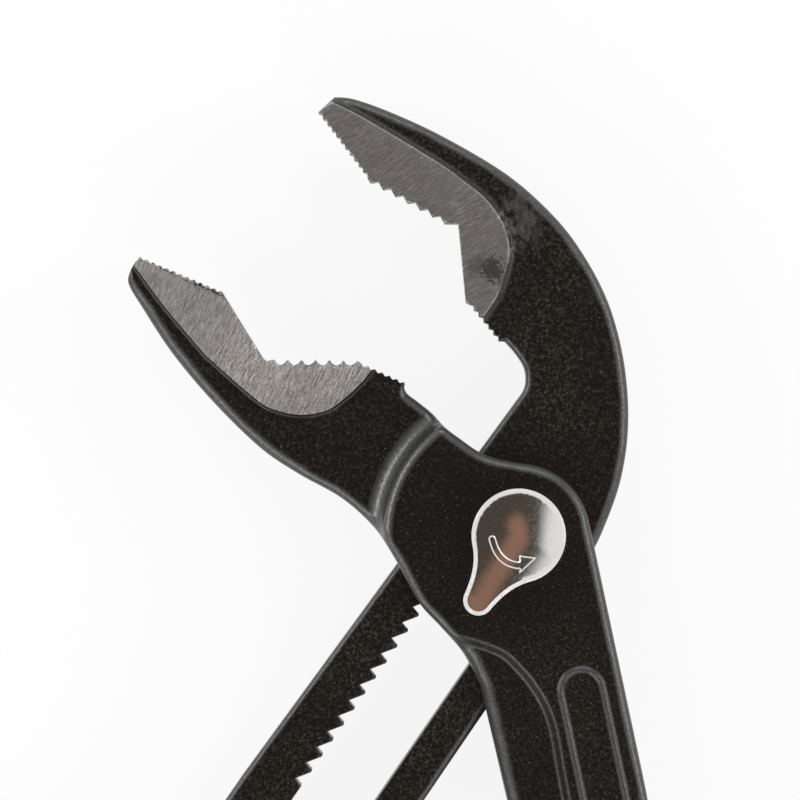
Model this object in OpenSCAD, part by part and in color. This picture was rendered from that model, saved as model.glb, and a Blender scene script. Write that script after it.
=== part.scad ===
// Water pump pliers with a box joint, a toothed adjusting slot and a release lever on the pivot.
// The tool lies on its back face. The pivot axis is Z, the box lever's handle runs along -Y
// and the jaws point to +Y. All sizes are millimetres.

/* [Overall] */
// Distance from the pivot to the end of each grip
reach = 200; // [185:1:220]
// Distance from the pivot to the mouth of each grip
grip_start = 80; // [78:1:95]
// Width of each bare handle inside its grip
handle_w = 13.5; // [12:0.5:16]
// Thickness of the box lever's bare handle inside its grip
handle_t = 8; // [7:0.5:9]
// Thickness of the dipped grip over the bare handle
grip_wall = 2.6; // [1.8:0.1:3]

/* [Box joint] */
// Thickness of the sliding lever and of both forged jaws
shank_t = 8; // [7:0.25:9]
// Thickness of each cheek of the box
cheek_t = 3.7; // [3:0.1:4.5]
// Gap between the sliding lever and each cheek
cheek_gap = 0.15; // [0.1:0.05:0.3]
// Radius of the box round the pivot, and half width of the box at the pivot
boss_r = 9.5; // [9:0.1:10.2]
// Radius at which the cheeks stop over the fixed jaw
cheek_r = 17.9; // [17:0.1:19]
// Radius of the fillet from the cheeks down to the fixed jaw
step_fillet = 2.1; // [1:0.1:2.8]
// Drop of the lowered strip along the box handle
strip_drop = 1.3; // [0.6:0.1:1.8]
// Angle that the jaws open past the pose shown
swing_open = 8; // [0:1:10]
// Angle that the jaws close from the pose shown
swing_close = 27.5; // [20:0.5:27.5]

/* [Jaws] */
// Height of the ground pads over the forged sides of the jaws
pad_h = 0.6; // [0.3:0.1:1]
// Depth of the fine teeth near the tip and the heel of each jaw
fine_depth = 0.35; // [0.2:0.05:0.5]
// Depth of the coarse teeth in the middle of each jaw
coarse_depth = 0.68; // [0.4:0.02:0.9]

/* [Adjusting slot] */
// Distance from the pivot to the rack's tooth tips
rack_side = 4.8; // [4.6:0.05:5.1]
// Distance from the pivot to the slot's plain wall
plain_side = 4.4; // [4.2:0.05:4.7]
// Distance from one jaw setting to the next
rack_pitch = 2.5; // [2.3:0.05:2.6]
// Depth of the rack's teeth
rack_depth = 1.2; // [1:0.05:1.3]
// Number of jaw settings
settings = 13; // [9:1:13]

/* [Pivot] */
// Radius of the hinge bolt inside the pawl
bolt_r = 2.9; // [2.6:0.1:3]
// Radius of the hinge bolt inside the guide block
bolt_guide_r = 3.3; // [3.1:0.1:3.5]
// Radius of the hinge bolt inside the back cheek
bolt_seat_r = 4.4; // [4:0.1:4.8]
// Radius of the hinge bolt's flush head
bolt_head_r = 5.8; // [5.4:0.1:6.4]
// Thickness of the hinge bolt's flush head
bolt_head_t = 1.5; // [1.2:0.1:2]
// Radius of the pawl's neck in the front cheek
neck_r = 4.2; // [3.9:0.1:4.3]
// Radial running clearance of the pivot pieces
run_gap = 0.05; // [0.02:0.01:0.08]
// Wire diameter of the pawl spring
spring_wire = 0.6; // [0.5:0.05:0.7]
// Number of turns of the pawl spring
spring_turns = 2; // [1:0.5:2]

/* [Release lever] */
// Radius of the release lever's round part
cap_r = 6.2; // [6:0.1:6.8]
// Height of the release lever over the front cheek
cap_h = 3.1; // [2.9:0.1:3.6]
// Distance from the pivot to the centre of the thumb tab's round end
tab_reach = 10; // [9:0.1:12]
// Radius of the thumb tab's round end
tab_r = 2; // [1.8:0.1:2.4]
// Direction of the thumb tab round the pivot
tab_angle = 226; // [215:1:235]

/* [Hidden] */
$fn = 64;
far = 400;
eps = 0.01;

// Heights of the box and of the layers inside it
mid_z = cheek_t + cheek_gap + shank_t / 2;
box_t = 2 * mid_z;
gap_t = shank_t + 2 * cheek_gap;
axial_gap = 0.1;

// Direction of the adjusting slot in the pose shown, and its turn from straight up
slot_angle = 43.5;
rest_turn = slot_angle - 90;

// Half widths that the box keeps free on the rack side and the plain side of the sliding lever
free_rack_side = 12.3;
free_plain_side = 10.2;

// Adjusting slot, measured along the sliding lever from the pivot
slot_top = 3.6;
rack_first = -6.15;
rack_tip_flat = 0.25;
rack_root_flat = 0.15;
rack_lead = 0.28 * rack_depth;
rack_slant = rack_pitch - rack_tip_flat - rack_root_flat - rack_lead;
slot_w = rack_side + plain_side;
slot_mid = (plain_side - rack_side) / 2;
pawl_teeth = 3;
rack_teeth = settings + pawl_teeth;
slot_bottom = rack_first - (rack_teeth - 1) * rack_pitch - 3;

// Pawl inside the slot
pawl_gap = 0.18;
pawl_relief = 0.65;
pawl_tooth_gap = 0.1;
pawl_tooth_depth = 0.6 * rack_depth;
pawl_end = rack_first - pawl_teeth * rack_pitch - 0.3;
pawl_tail_w = 1.6;

// Pivot stack over the front cheek
cap_gap = 0.1;
cap_z = box_t + cap_gap;
key_h = 1;
key_half_w = 3.4;
ring_z = cap_z + key_h + 0.05;
ring_t = 0.6;
ring_r = 4;
groove_r = 2.4;
bolt_end = ring_z + ring_t + 0.25;
cap_room_r = ring_r + 0.4;
cap_room_top = bolt_end + 0.15;
tab_root = 42;
cap_crown = 0.45;
cap_bevel = 0.6;
arrow_r = 3.55;
arrow_w = 1.15;
arrow_angle = 166;
arrow_depth = 0.1;
arrow_lap = 0.2;
spring_r = neck_r + 0.85;
pocket_r = cap_r - 0.3;
spring_rise = spring_wire + 0.02;
spring_steps = 24;
spring_sides = 8;
pocket_depth = spring_turns * spring_rise + spring_wire + 0.15;

// Handle of the box lever
box_shoulder = 34;
box_handle_mid = 0.4;
box_handle_w = 2 * (boss_r - box_handle_mid);
box_bow = 4;
boss_start = 74;

// Handle of the sliding lever
shank_rack_edge = -12;
shank_plain_edge = 9.7;
slide_shoulder = 47;
slide_handle_mid = (shank_rack_edge + shank_plain_edge) / 2;
slide_handle_w = shank_plain_edge - shank_rack_edge;
slide_bend = 7;
slide_bend_l = 44;
slide_return = 5;
slide_return_l = 90;

// Ends of the bare handles, and the box handle's ramp from the cheeks down to its bare thickness
grip_end_wall = 3;
bare_end = reach - grip_end_wall - handle_w / 2;
ramp_start = 58;
ramp_end = grip_start - 4;

// Shape of each grip as shares of its length: thinner at the waist, shut with a round end
grip_waist = 0.15;
waist_start = [0.02, 0.12];
waist_end = [0.72, 0.2];
shut_start = 0.93;
shut_least = 0.12;
grip_corner = 0.62;

// Steps along curves and handles, and sides and rings of each grip
curve_steps = 4;
handle_steps = 28;
grip_sides = 20;
grip_rings = 22;
grip_end_rings = 6;

// Outline of the fixed jaw, from the tip along the grip profile to the box
jaw_fine_teeth = 12;
coarse_teeth = 6;
heel_teeth = 6;
jaw_tip = [-41.3, 46.4];
jaw_notch_top = [-31.7, 39.7];
jaw_notch_foot = [[-28.2, 29.9], [-27.7, 29.4]];
jaw_coarse_start = [-26.8, 29.4];
jaw_coarse_end = [-16, 27];
jaw_heel_start = [-15.6, 26.6];
jaw_heel_end = [-10.5, 22.9];
jaw_heel_edge = [[-10.7, 22], [-9.3, 20], [-7.7, 18], [-6.6, 16.1], [-5, 14.2], [-2.6, 11.7], [0, 10.2]];
jaw_back = [[-9, -18.5], [-10.3, -13.8], [-12.2, -10.2], [-14.4, -6.5], [-15.6, -3], [-16.6, 0.5],
            [-18.4, 4.9], [-21.8, 9.6], [-26.8, 14], [-31, 18.4], [-35.8, 25.6], [-39.7, 32.9],
            [-42.4, 39.8], [-43.5, 43.2], [-42.9, 44.8], [-42, 45.8]];
jaw_pad_edge = [[-42.2, 45.3], [-39.6, 39.8], [-34.2, 31.2], [-29.5, 24.6], [-25.2, 21.5],
                [-22.8, 21.1], [-20.2, 21.6], [-15.8, 24.2], [-13, 26.8]];

// Lowered strip's edge and oval badge along the box handle
strip_edge = [[-12.6, -10.6], [-6, -14.3], [-3.6, -17.2], [-2, -20.4], [-1.1, -23.4], [-0.8, -26.5],
              [-1, -32.5], [-1.2, -44]];
badge_x = 3.9;
badge_top = -18.7;
badge_w = 6;
badge_l = 26;
badge_rim = 0.8;
badge_rise = 0.35;

// Outline of the sliding jaw in its lever's own frame, with the slot along +Y
slide_fine_teeth = 11;
slide_tip = [-53.4, 31.1];
slide_fine_end = [-43.2, 27.7];
slide_coarse_start = [-42.5, 27.4];
slide_coarse_end = [-31.3, 28.5];
slide_notch_top = [-29.8, 29.5];
slide_notch_foot = [-23.1, 21.5];
slide_heel_start = [-22.6, 21.5];
slide_heel_end = [-16.6, 19.7];
slide_throat = [[-15.9, 20.1], [-13.9, 19.6], [-12, 18.8], [-10.8, 17.6], [-10.2, 16.2], [-10.2, 14.4]];
slide_back = [[9.5, 3], [9, 6.6], [7.4, 12.9], [4.7, 18.8], [1.1, 24], [-3.3, 28.7], [-8.6, 32.8],
              [-15.1, 36], [-21.1, 37.7], [-28.4, 38.5], [-37.6, 37.9], [-45, 36.7], [-50.4, 35.3],
              [-52.8, 34]];
slide_pad_edge = [[-52.9, 33], [-47.7, 33.9], [-36.4, 35], [-32.3, 34.9], [-28.6, 34.4], [-25.3, 33],
                  [-23.2, 31.6], [-21.7, 29.9], [-20.9, 27.2], [-20, 23.9], [-20.3, 19]];

function polar(r, a) = [r * cos(a), r * sin(a)];
function mix(a, b, t) = a + (b - a) * t;
function ease(t) = let (c = min(1, max(0, t))) c * c * (3 - 2 * c);
function arc(c, r, a0, a1, n) = [for (i = [0:n]) c + polar(r, mix(a0, a1, i / n))];

// Smooth curve through the points p, with n steps between neighbours
function spline_at(a, b, c, d, t) =
    0.5 * (2 * b + (c - a) * t + (2 * a - 5 * b + 4 * c - d) * t * t + (3 * b - a - 3 * c + d) * t * t * t);
function curve(p, n) =
    let (last = len(p) - 1)
    [for (i = [0:last - 1], k = [0:n - 1])
        spline_at(p[max(0, i - 1)], p[i], p[i + 1], p[min(last, i + 2)], k / n), p[last]];

// Row of n teeth with tips from p to q, cut to the right of that way, or to the left if depth is negative.
// The valley's points in shape are [share of the pitch, share of the depth].
function tooth_row(p, q, n, depth, shape) =
    let (step = (q - p) / n, side = [step[1], -step[0]] / norm(step))
    [for (i = [0:n - 1]) each
        concat([p + i * step], [for (s = shape) p + (i + s[0]) * step + depth * s[1] * side]), q];
vee = [[0.5, 1]];
saw = [[0.45, 0.9]];
scoop = [for (i = [1:5]) [i / 6, 4 * i / 6 * (1 - i / 6)]];

// Middle line and width of each handle at the distance d from the pivot
function box_mid(d) =
    let (t = ease((d - box_shoulder) / (reach - box_shoulder)))
    box_handle_mid + box_bow * (1 - cos(360 * t)) / 2;
function box_width(d) =
    mix(box_handle_w, handle_w, ease((d - box_shoulder) / (grip_start - box_shoulder)));
function slide_mid(d) =
    slide_handle_mid - slide_bend * ease((d - slide_shoulder) / slide_bend_l)
        + slide_return * ease((d - reach + slide_return_l) / slide_return_l);
function slide_width(d) =
    mix(slide_handle_w, handle_w, ease((d - slide_shoulder) / (grip_start - slide_shoulder)));

// Edges of a handle from one distance to another; side is -1 for the left edge and 1 for the right one
function box_edge(d0, d1, side) =
    [for (i = [0:handle_steps]) let (d = mix(d0, d1, i / handle_steps))
        [box_mid(d) + side * box_width(d) / 2, -d]];
function slide_edge(d0, d1, side) =
    [for (i = [0:handle_steps]) let (d = mix(d0, d1, i / handle_steps))
        [slide_mid(d) + side * slide_width(d) / 2, -d]];

module flat(z0, z1) {
    translate([0, 0, z0]) linear_extrude(z1 - z0) children();
}

module box_outline() {
    polygon(concat(
        tooth_row(jaw_tip, jaw_notch_top, jaw_fine_teeth, fine_depth, vee),
        jaw_notch_foot,
        tooth_row(jaw_coarse_start, jaw_coarse_end, coarse_teeth, coarse_depth, scoop),
        tooth_row(jaw_heel_start, jaw_heel_end, heel_teeth, fine_depth, vee),
        curve(jaw_heel_edge, curve_steps),
        arc([0, 0], boss_r, boss_start, 0, 16),
        box_edge(box_shoulder, bare_end, 1),
        arc([box_mid(bare_end), -bare_end], handle_w / 2, 0, -180, 16),
        box_edge(bare_end, box_shoulder, -1),
        curve(jaw_back, curve_steps)));
}

// Half thickness of the box lever along its handle, as a side view
module box_side_view() {
    steps = 10;
    ramp = [for (i = [0:steps]) let (t = i / steps)
        [-mix(ramp_start, ramp_end, t), mix(mid_z, handle_t / 2, ease(t))]];
    upper = concat([[-boss_r, mid_z]], ramp, [[-reach, handle_t / 2]]);
    polygon(concat(upper, [for (i = [len(upper) - 1:-1:0]) [upper[i][0], -upper[i][1]]]));
}

// Round part of the cheeks, with the fillet that runs down to the fixed jaw
module cheek_disc() {
    foot = cheek_r + step_fillet;
    fillet = arc([foot, shank_t / 2 + step_fillet], step_fillet, 270, 180, 8);
    rotate_extrude($fn = 128)
        polygon(concat([[0, 0]], [[foot, 0]], fillet, [[cheek_r, mid_z], [0, mid_z]]));
}

// Solid webs between the cheeks, beside the space that the sliding lever sweeps
module box_webs() {
    half = (swing_open + swing_close) / 2;
    middle = slot_angle + (swing_close - swing_open) / 2;
    rack_web = polar(free_rack_side / cos(half), middle + 90);
    plain_web = polar(free_plain_side / cos(half), middle - 90);
    polygon([rack_web, rack_web + polar(far, middle + half), polar(far, middle + 90),
             rack_web + polar(far, middle - half + 180)]);
    polygon([plain_web, plain_web + polar(far, middle + half + 180), polar(far, middle - 90),
             plain_web + polar(far, middle - half)]);
}

module strip_area() {
    first = strip_edge[0];
    last = strip_edge[len(strip_edge) - 1];
    polygon(concat(curve(strip_edge, curve_steps), [[last[0], -far], [-far, -far], [-far, first[1]]]));
}

module badge_outline(inset) {
    r = badge_w / 2 - inset;
    upper = badge_top - badge_w / 2;
    lower = badge_top - badge_l + badge_w / 2;
    translate([badge_x, upper]) circle(r);
    translate([badge_x, lower]) circle(r);
    translate([badge_x - r, lower]) square([2 * r, upper - lower]);
}

module box_lever() {
    color([0.13, 0.13, 0.14]) difference() {
        union() {
            flat(mid_z - shank_t / 2, mid_z + shank_t / 2) box_outline();
            intersection() {
                flat(0, box_t) box_outline();
                translate([0, 0, mid_z]) union() {
                    cheek_disc();
                    mirror([0, 0, 1]) cheek_disc();
                    rotate([90, 0, 90]) linear_extrude(2 * far, center = true) box_side_view();
                }
            }
            flat(mid_z - shank_t / 2 - pad_h, mid_z + shank_t / 2 + pad_h) intersection() {
                box_outline();
                polygon(concat(curve(jaw_pad_edge, curve_steps), [[-10, far], [-far, far]]));
            }
            flat(box_t - eps, box_t + badge_rise) difference() {
                badge_outline(0);
                badge_outline(badge_rim);
            }
        }
        flat(mid_z - gap_t / 2, mid_z + gap_t / 2) difference() {
            square(2 * far, center = true);
            box_webs();
        }
        flat(-1, strip_drop) strip_area();
        flat(box_t - strip_drop, box_t + 1) strip_area();
        translate([0, 0, -1]) cylinder(h = bolt_head_t + 1, r = bolt_head_r + run_gap);
        translate([0, 0, -1]) cylinder(h = mid_z, r = bolt_seat_r);
        translate([0, 0, mid_z]) cylinder(h = box_t, r = neck_r + run_gap);
        translate([0, 0, box_t - pocket_depth]) cylinder(h = box_t, r = pocket_r);
    }
}

module slide_outline() {
    polygon(concat(
        tooth_row(slide_tip, slide_fine_end, slide_fine_teeth, -fine_depth, vee),
        tooth_row(slide_coarse_start, slide_coarse_end, coarse_teeth, -coarse_depth, saw),
        [slide_notch_top, slide_notch_foot],
        tooth_row(slide_heel_start, slide_heel_end, heel_teeth, -fine_depth, vee),
        curve(slide_throat, curve_steps),
        slide_edge(slide_shoulder, bare_end, -1),
        arc([slide_mid(bare_end), -bare_end], handle_w / 2, 180, 360, 16),
        slide_edge(bare_end, slide_shoulder, 1),
        curve(slide_back, curve_steps)));
}

module slot_outline() {
    tip = -rack_side;
    root = tip - rack_depth;
    first_land = rack_first + rack_pitch - rack_tip_flat;
    last = rack_teeth - 1;
    polygon(concat(
        arc([slot_mid, slot_top], slot_w / 2, 0, 180, 24),
        [[tip, first_land], [root, first_land - rack_slant]],
        [for (i = [0:last]) let (t = rack_first - i * rack_pitch)
            each concat([[root, t + rack_lead], [tip, t]],
                        i == last ? [] : [[tip, t - rack_tip_flat],
                                          [root, t - rack_tip_flat - rack_slant]])],
        arc([slot_mid, slot_bottom], slot_w / 2, 180, 360, 24)));
}

module slide_lever() {
    color([0.13, 0.13, 0.14]) rotate(rest_turn) {
        flat(mid_z - shank_t / 2, mid_z + shank_t / 2) difference() {
            slide_outline();
            slot_outline();
        }
        flat(mid_z - shank_t / 2 - pad_h, mid_z + shank_t / 2 + pad_h) intersection() {
            slide_outline();
            polygon(concat(curve(slide_pad_edge, curve_steps), [[-far, 0], [-far, 30]]));
        }
    }
}

// Share of a grip's length at each of its rings, closer together round the shut end
grip_shares = concat([for (i = [0:grip_rings]) shut_start * i / grip_rings],
                     [for (i = [1:grip_end_rings]) mix(shut_start, 1, sin(90 * i / grip_end_rings))]);
// Distance from the pivot to each ring of a grip
grip_stations = [for (s = grip_shares) mix(grip_start, reach, s)];

// Round-edged grip along a handle: mids holds its middle points, core its half width and half thickness
module grip_solid(mids, core) {
    function part(s, span) = ease((s - span[0]) / span[1]);
    function wall(s) = grip_wall * (1 - grip_waist * (part(s, waist_start) - part(s, waist_end)));
    function shut(s) = sqrt(max(0, 1 - pow(max(0, s - shut_start) / (1 - shut_start), 2)));
    function corner(x) = sign(x) * pow(abs(x), grip_corner);
    last_ring = len(grip_shares) - 1;
    points = [for (i = [0:last_ring]) let (s = grip_shares[i], size = max(shut_least, shut(s)))
        for (k = [0:grip_sides - 1]) let (a = 360 * (k + 0.5) / grip_sides)
            [mids[i][0] + (core[0] + wall(s)) * size * corner(cos(a)), mids[i][1],
             mid_z + (core[1] + wall(s)) * size * corner(sin(a))]];
    sides = [for (i = [0:last_ring - 1], k = [0:grip_sides - 1]) let (
            a = i * grip_sides + k, b = i * grip_sides + (k + 1) % grip_sides)
        [a, b, b + grip_sides, a + grip_sides]];
    first = [for (k = [grip_sides - 1:-1:0]) k];
    last = [for (k = [0:grip_sides - 1]) last_ring * grip_sides + k];
    polyhedron(points, concat(sides, [first, last]));
}

module box_grip() {
    color([0.07, 0.07, 0.08]) difference() {
        grip_solid([for (d = grip_stations) [box_mid(d), -d]], [handle_w / 2, handle_t / 2]);
        flat(mid_z - handle_t / 2, mid_z + handle_t / 2) box_outline();
    }
}

module slide_grip() {
    color([0.07, 0.07, 0.08]) rotate(rest_turn) difference() {
        grip_solid([for (d = grip_stations) [slide_mid(d), -d]], [handle_w / 2, handle_t / 2]);
        flat(mid_z - shank_t / 2, mid_z + shank_t / 2) slide_outline();
    }
}

module hinge_bolt() {
    color([0.55, 0.55, 0.57]) difference() {
        union() {
            cylinder(h = bolt_head_t, r = bolt_head_r);
            cylinder(h = cheek_t, r = bolt_seat_r);
            cylinder(h = mid_z, r = bolt_guide_r);
            cylinder(h = bolt_end, r = bolt_r);
        }
        translate([0, 0, ring_z]) difference() {
            cylinder(h = ring_t, r = bolt_r + 1);
            cylinder(h = ring_t, r = groove_r);
        }
    }
}

module retaining_ring() {
    color([0.35, 0.35, 0.38]) translate([0, 0, ring_z]) linear_extrude(ring_t) difference() {
        circle(ring_r);
        circle(groove_r);
        translate([-groove_r * 0.7, 0]) square([groove_r * 1.4, ring_r + 1]);
    }
}

module guide_block() {
    half_w = slot_w / 2 - run_gap;
    length = slot_top + 3;
    color([0.5, 0.5, 0.52]) rotate(rest_turn)
        flat(mid_z - shank_t / 2, mid_z - axial_gap / 2) difference() {
            union() {
                translate([slot_mid, slot_top - 0.2]) circle(half_w);
                translate([slot_mid - half_w, -length]) square([2 * half_w, length + slot_top - 0.2]);
            }
            circle(bolt_guide_r + run_gap);
        }
}

// Pawl in the front half of the slot, its teeth in the gaps of the rack
module pawl_outline() {
    hub_r = plain_side - pawl_gap;
    back = pawl_gap - rack_side;
    tip = -rack_side - pawl_tooth_depth;
    circle(hub_r);
    polygon([[-hub_r * cos(20), hub_r * sin(20)], [back, -2], [back, pawl_end], [pawl_tail_w, pawl_end],
             [hub_r * cos(25), -hub_r * sin(25)]]);
    for (i = [0:pawl_teeth - 1]) {
        upper = rack_first - i * rack_pitch - rack_tip_flat - pawl_tooth_gap;
        lower = rack_first - (i + 1) * rack_pitch + pawl_tooth_gap;
        slant = rack_slant / rack_depth * pawl_tooth_depth;
        polygon([[back, upper], [-rack_side, upper], [tip, upper - slant],
                 [tip, lower + pawl_relief * pawl_tooth_depth], [-rack_side, lower], [back, lower]]);
    }
}

module locking_pawl() {
    color([0.45, 0.45, 0.47]) rotate(rest_turn) difference() {
        union() {
            flat(mid_z + axial_gap / 2, mid_z + shank_t / 2) pawl_outline();
            flat(mid_z + shank_t / 2 - eps, cap_z) circle(neck_r);
            flat(cap_z - eps, cap_z + key_h) neck_key();
        }
        translate([0, 0, mid_z - 1]) cylinder(h = box_t, r = bolt_r + run_gap);
    }
}

// Two flats on the neck that turn the release lever and the pawl together
module neck_key() {
    intersection() {
        circle(neck_r);
        square([2 * key_half_w, far], center = true);
    }
}

module tab_outline() {
    root = polar(cap_r - 0.3, tab_root);
    flank = curve([root, [cap_r + 0.8, tab_r + 0.7], [tab_reach, tab_r]], curve_steps);
    polygon(concat(flank, arc([tab_reach, 0], tab_r, 80, -80, 16),
                   [for (i = [len(flank) - 1:-1:0]) [flank[i][0], -flank[i][1]]]));
}

// Direction arrow sunk into the release lever's top
module arrow_outline() {
    rotate(arrow_angle) {
        difference() {
            circle(arrow_r + arrow_w / 2);
            circle(arrow_r - arrow_w / 2);
            for (a = [90, 180, 270]) rotate(a) square(far);
        }
        polygon([[arrow_lap, arrow_r - arrow_w], [arrow_lap, arrow_r + arrow_w],
                 [-2 * arrow_w, arrow_r - arrow_w / 2]]);
    }
}

module release_lever() {
    rim_h = cap_h - cap_crown - cap_bevel;
    color([0.8, 0.8, 0.82]) translate([0, 0, cap_z]) difference() {
        union() {
            rotate_extrude()
                polygon([[0, 0], [cap_r, 0], [cap_r, rim_h], [cap_r - cap_bevel, rim_h + cap_bevel],
                         [0, cap_h]]);
            rotate(tab_angle) linear_extrude(rim_h + cap_bevel / 2) tab_outline();
        }
        rotate(rest_turn) translate([0, 0, -1]) linear_extrude(key_h + 1) neck_key();
        translate([0, 0, key_h]) cylinder(h = cap_room_top - cap_z - key_h, r = cap_room_r);
        translate([0, 0, -1]) cylinder(h = key_h + 2, r = bolt_r + run_gap);
        flat(cap_h - cap_crown - arrow_depth, cap_h + 1) arrow_outline();
    }
}

// Flat-wound torsion spring in the pocket of the front cheek
module pawl_spring() {
    steps = spring_steps * spring_turns;
    base = box_t - pocket_depth + spring_wire / 2;
    points = [for (i = [0:steps]) let (turn = 360 * i / spring_steps)
        for (k = [0:spring_sides - 1]) let (a = 360 * k / spring_sides)
            concat(polar(spring_r + spring_wire / 2 * cos(a), turn),
                   base + spring_rise * turn / 360 + spring_wire / 2 * sin(a))];
    walls = [for (i = [0:steps - 1], k = [0:spring_sides - 1]) let (
            a = i * spring_sides + k, b = i * spring_sides + (k + 1) % spring_sides)
        [a, a + spring_sides, b + spring_sides, b]];
    first = [for (k = [0:spring_sides - 1]) k];
    last = [for (k = [spring_sides - 1:-1:0]) steps * spring_sides + k];
    color([0.6, 0.6, 0.62]) polyhedron(points, concat(walls, [first, last]));
}

box_lever();
box_grip();
hinge_bolt();
retaining_ring();
guide_block();
slide_lever();
slide_grip();
locking_pawl();
release_lever();
pawl_spring();
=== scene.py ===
"""Looks of the water pump pliers: forged levers, dipped grips, polished release lever and pivot pieces."""

import math

import bpy
import numpy as np
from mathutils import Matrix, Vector, noise
from mathutils.geometry import delaunay_2d_cdt


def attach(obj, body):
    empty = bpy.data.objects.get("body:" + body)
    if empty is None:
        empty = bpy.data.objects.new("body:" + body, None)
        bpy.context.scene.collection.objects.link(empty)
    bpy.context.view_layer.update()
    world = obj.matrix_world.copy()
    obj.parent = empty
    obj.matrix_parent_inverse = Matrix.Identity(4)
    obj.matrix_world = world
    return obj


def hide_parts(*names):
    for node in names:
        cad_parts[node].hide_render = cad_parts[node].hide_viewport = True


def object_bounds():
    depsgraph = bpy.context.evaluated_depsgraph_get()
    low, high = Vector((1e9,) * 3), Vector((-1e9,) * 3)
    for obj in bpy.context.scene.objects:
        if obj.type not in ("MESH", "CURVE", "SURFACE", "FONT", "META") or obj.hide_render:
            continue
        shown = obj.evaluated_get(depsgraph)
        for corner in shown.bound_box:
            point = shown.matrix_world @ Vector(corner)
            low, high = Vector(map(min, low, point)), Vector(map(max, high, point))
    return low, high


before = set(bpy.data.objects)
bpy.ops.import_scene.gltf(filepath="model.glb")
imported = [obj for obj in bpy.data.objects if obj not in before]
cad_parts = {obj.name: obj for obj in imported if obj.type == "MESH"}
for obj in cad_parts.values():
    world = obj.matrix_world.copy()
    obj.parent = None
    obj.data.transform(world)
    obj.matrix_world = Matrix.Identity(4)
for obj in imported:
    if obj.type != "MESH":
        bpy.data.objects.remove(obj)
cad_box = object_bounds()

# Sizes of the tool in millimetres, with the pivot axis on Z and the box handle along -Y
MM = 0.001
REACH = 200.0
GRIP_START = 80.0
HANDLE_W = 13.5
HANDLE_T = 8.0
GRIP_WALL = 2.6
SHANK_T = 8.0
CHEEK_T = 3.7
CHEEK_GAP = 0.15
BOSS_R = 9.5
CHEEK_R = 17.9
STEP_FILLET = 2.45
STRIP_DROP = 1.3
PAD_H = 0.6
FINE_DEPTH = 0.35
COARSE_DEPTH = 0.68
MID_Z = CHEEK_T + CHEEK_GAP + SHANK_T / 2
BOX_T = 2 * MID_Z
SHANK_TOP = MID_Z + SHANK_T / 2
PAD_TOP = SHANK_TOP + PAD_H
CAVITY_CEILING = BOX_T - CHEEK_T
SLOT_ANGLE = 43.5
REST_TURN = SLOT_ANGLE - 90
SWING_OPEN = 8.0
SWING_CLOSE = 27.5

# Edge rounding of the forgings, of the shank and of cut edges, and the least rounding of a worn edge
FORGED_ROUND = 1.15
JAW_BACK_ROUND = 1.35
SHANK_ROUND = 0.7
STRIP_ROUND = 1.7
CREST_ROUND = 1.4
CUT_ROUND = 0.07
SLOT_ROUND = 0.12
TIP_ROUND = 0.12
CUT_LIMIT = 0.3
ROUND_POWER = 1.7

# Steps along the outlines where they show and inside the grips, and a length beyond the whole tool
FINE_STEP = 0.45
HIDDEN_STEP = 2.5
FAR = 300.0


def polar(radius, degrees):
    turn = np.radians(degrees)
    return np.stack([radius * np.cos(turn), radius * np.sin(turn)], -1)


def turned(points, degrees):
    turn = math.radians(degrees)
    c, s = math.cos(turn), math.sin(turn)
    return np.asarray(points, float) @ np.array([[c, s], [-s, c]])


def ease(share):
    share = np.clip(share, 0, 1)
    return share * share * (3 - 2 * share)


def arc(centre, radius, start, end, steps):
    return np.asarray(centre, float) + polar(radius, np.linspace(start, end, steps + 1))


def curve(points, steps=6):
    """Smooth curve through the points."""
    points = np.asarray(points, float)
    padded = np.vstack([points[:1], points, points[-1:]])
    t = np.arange(steps)[:, None] / steps
    runs = []
    for a, b, c, d in zip(padded, padded[1:], padded[2:], padded[3:]):
        bend = 2 * a - 5 * b + 4 * c - d
        twist = 3 * b - a - 3 * c + d
        runs.append(0.5 * (2 * b + (c - a) * t + bend * t**2 + twist * t**3))
    return np.vstack(runs + [points[-1:]])


def straight(first, last, step):
    count = math.ceil(np.hypot(*(last - first)) / step)
    return first + (last - first) * np.linspace(0, 1, count + 1)[:, None]


def even_steps(line, step):
    runs = [straight(first, last, step)[:-1] for first, last in zip(line, line[1:])]
    return np.vstack(runs + [line[-1:]])


def rounded(points, radius):
    """Points of an outline with the edge rounding that they carry."""
    points = np.asarray(points, float)
    return np.column_stack([points, np.full(len(points), radius)])


def tooth_row(first, last, count, depth, valley):
    """Cut teeth with tips from first to last; valley holds shares of the pitch and of the depth."""
    first, last = np.asarray(first, float), np.asarray(last, float)
    step = (last - first) / count
    side = np.array([step[1], -step[0]]) / np.hypot(*step)
    rows = []
    for number in range(count):
        rows.append(first + number * step)
        rows += [first + (number + along) * step + depth * down * side for along, down in valley]
    return rounded(rows + [last], CUT_ROUND)


# Valleys between two teeth
VEE = [(0.5, 1.0)]
SAW = [(0.45, 0.9)]
SCOOP = [(i / 6, 4 * i / 6 * (1 - i / 6)) for i in range(1, 6)]


def closed(loop):
    return np.vstack([loop, loop[:1]])


def counter_clockwise(loop):
    x, y = loop[:, 0], loop[:, 1]
    area = np.sum(x * np.roll(y, -1) - np.roll(x, -1) * y)
    return loop if area > 0 else loop[::-1].copy()


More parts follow.
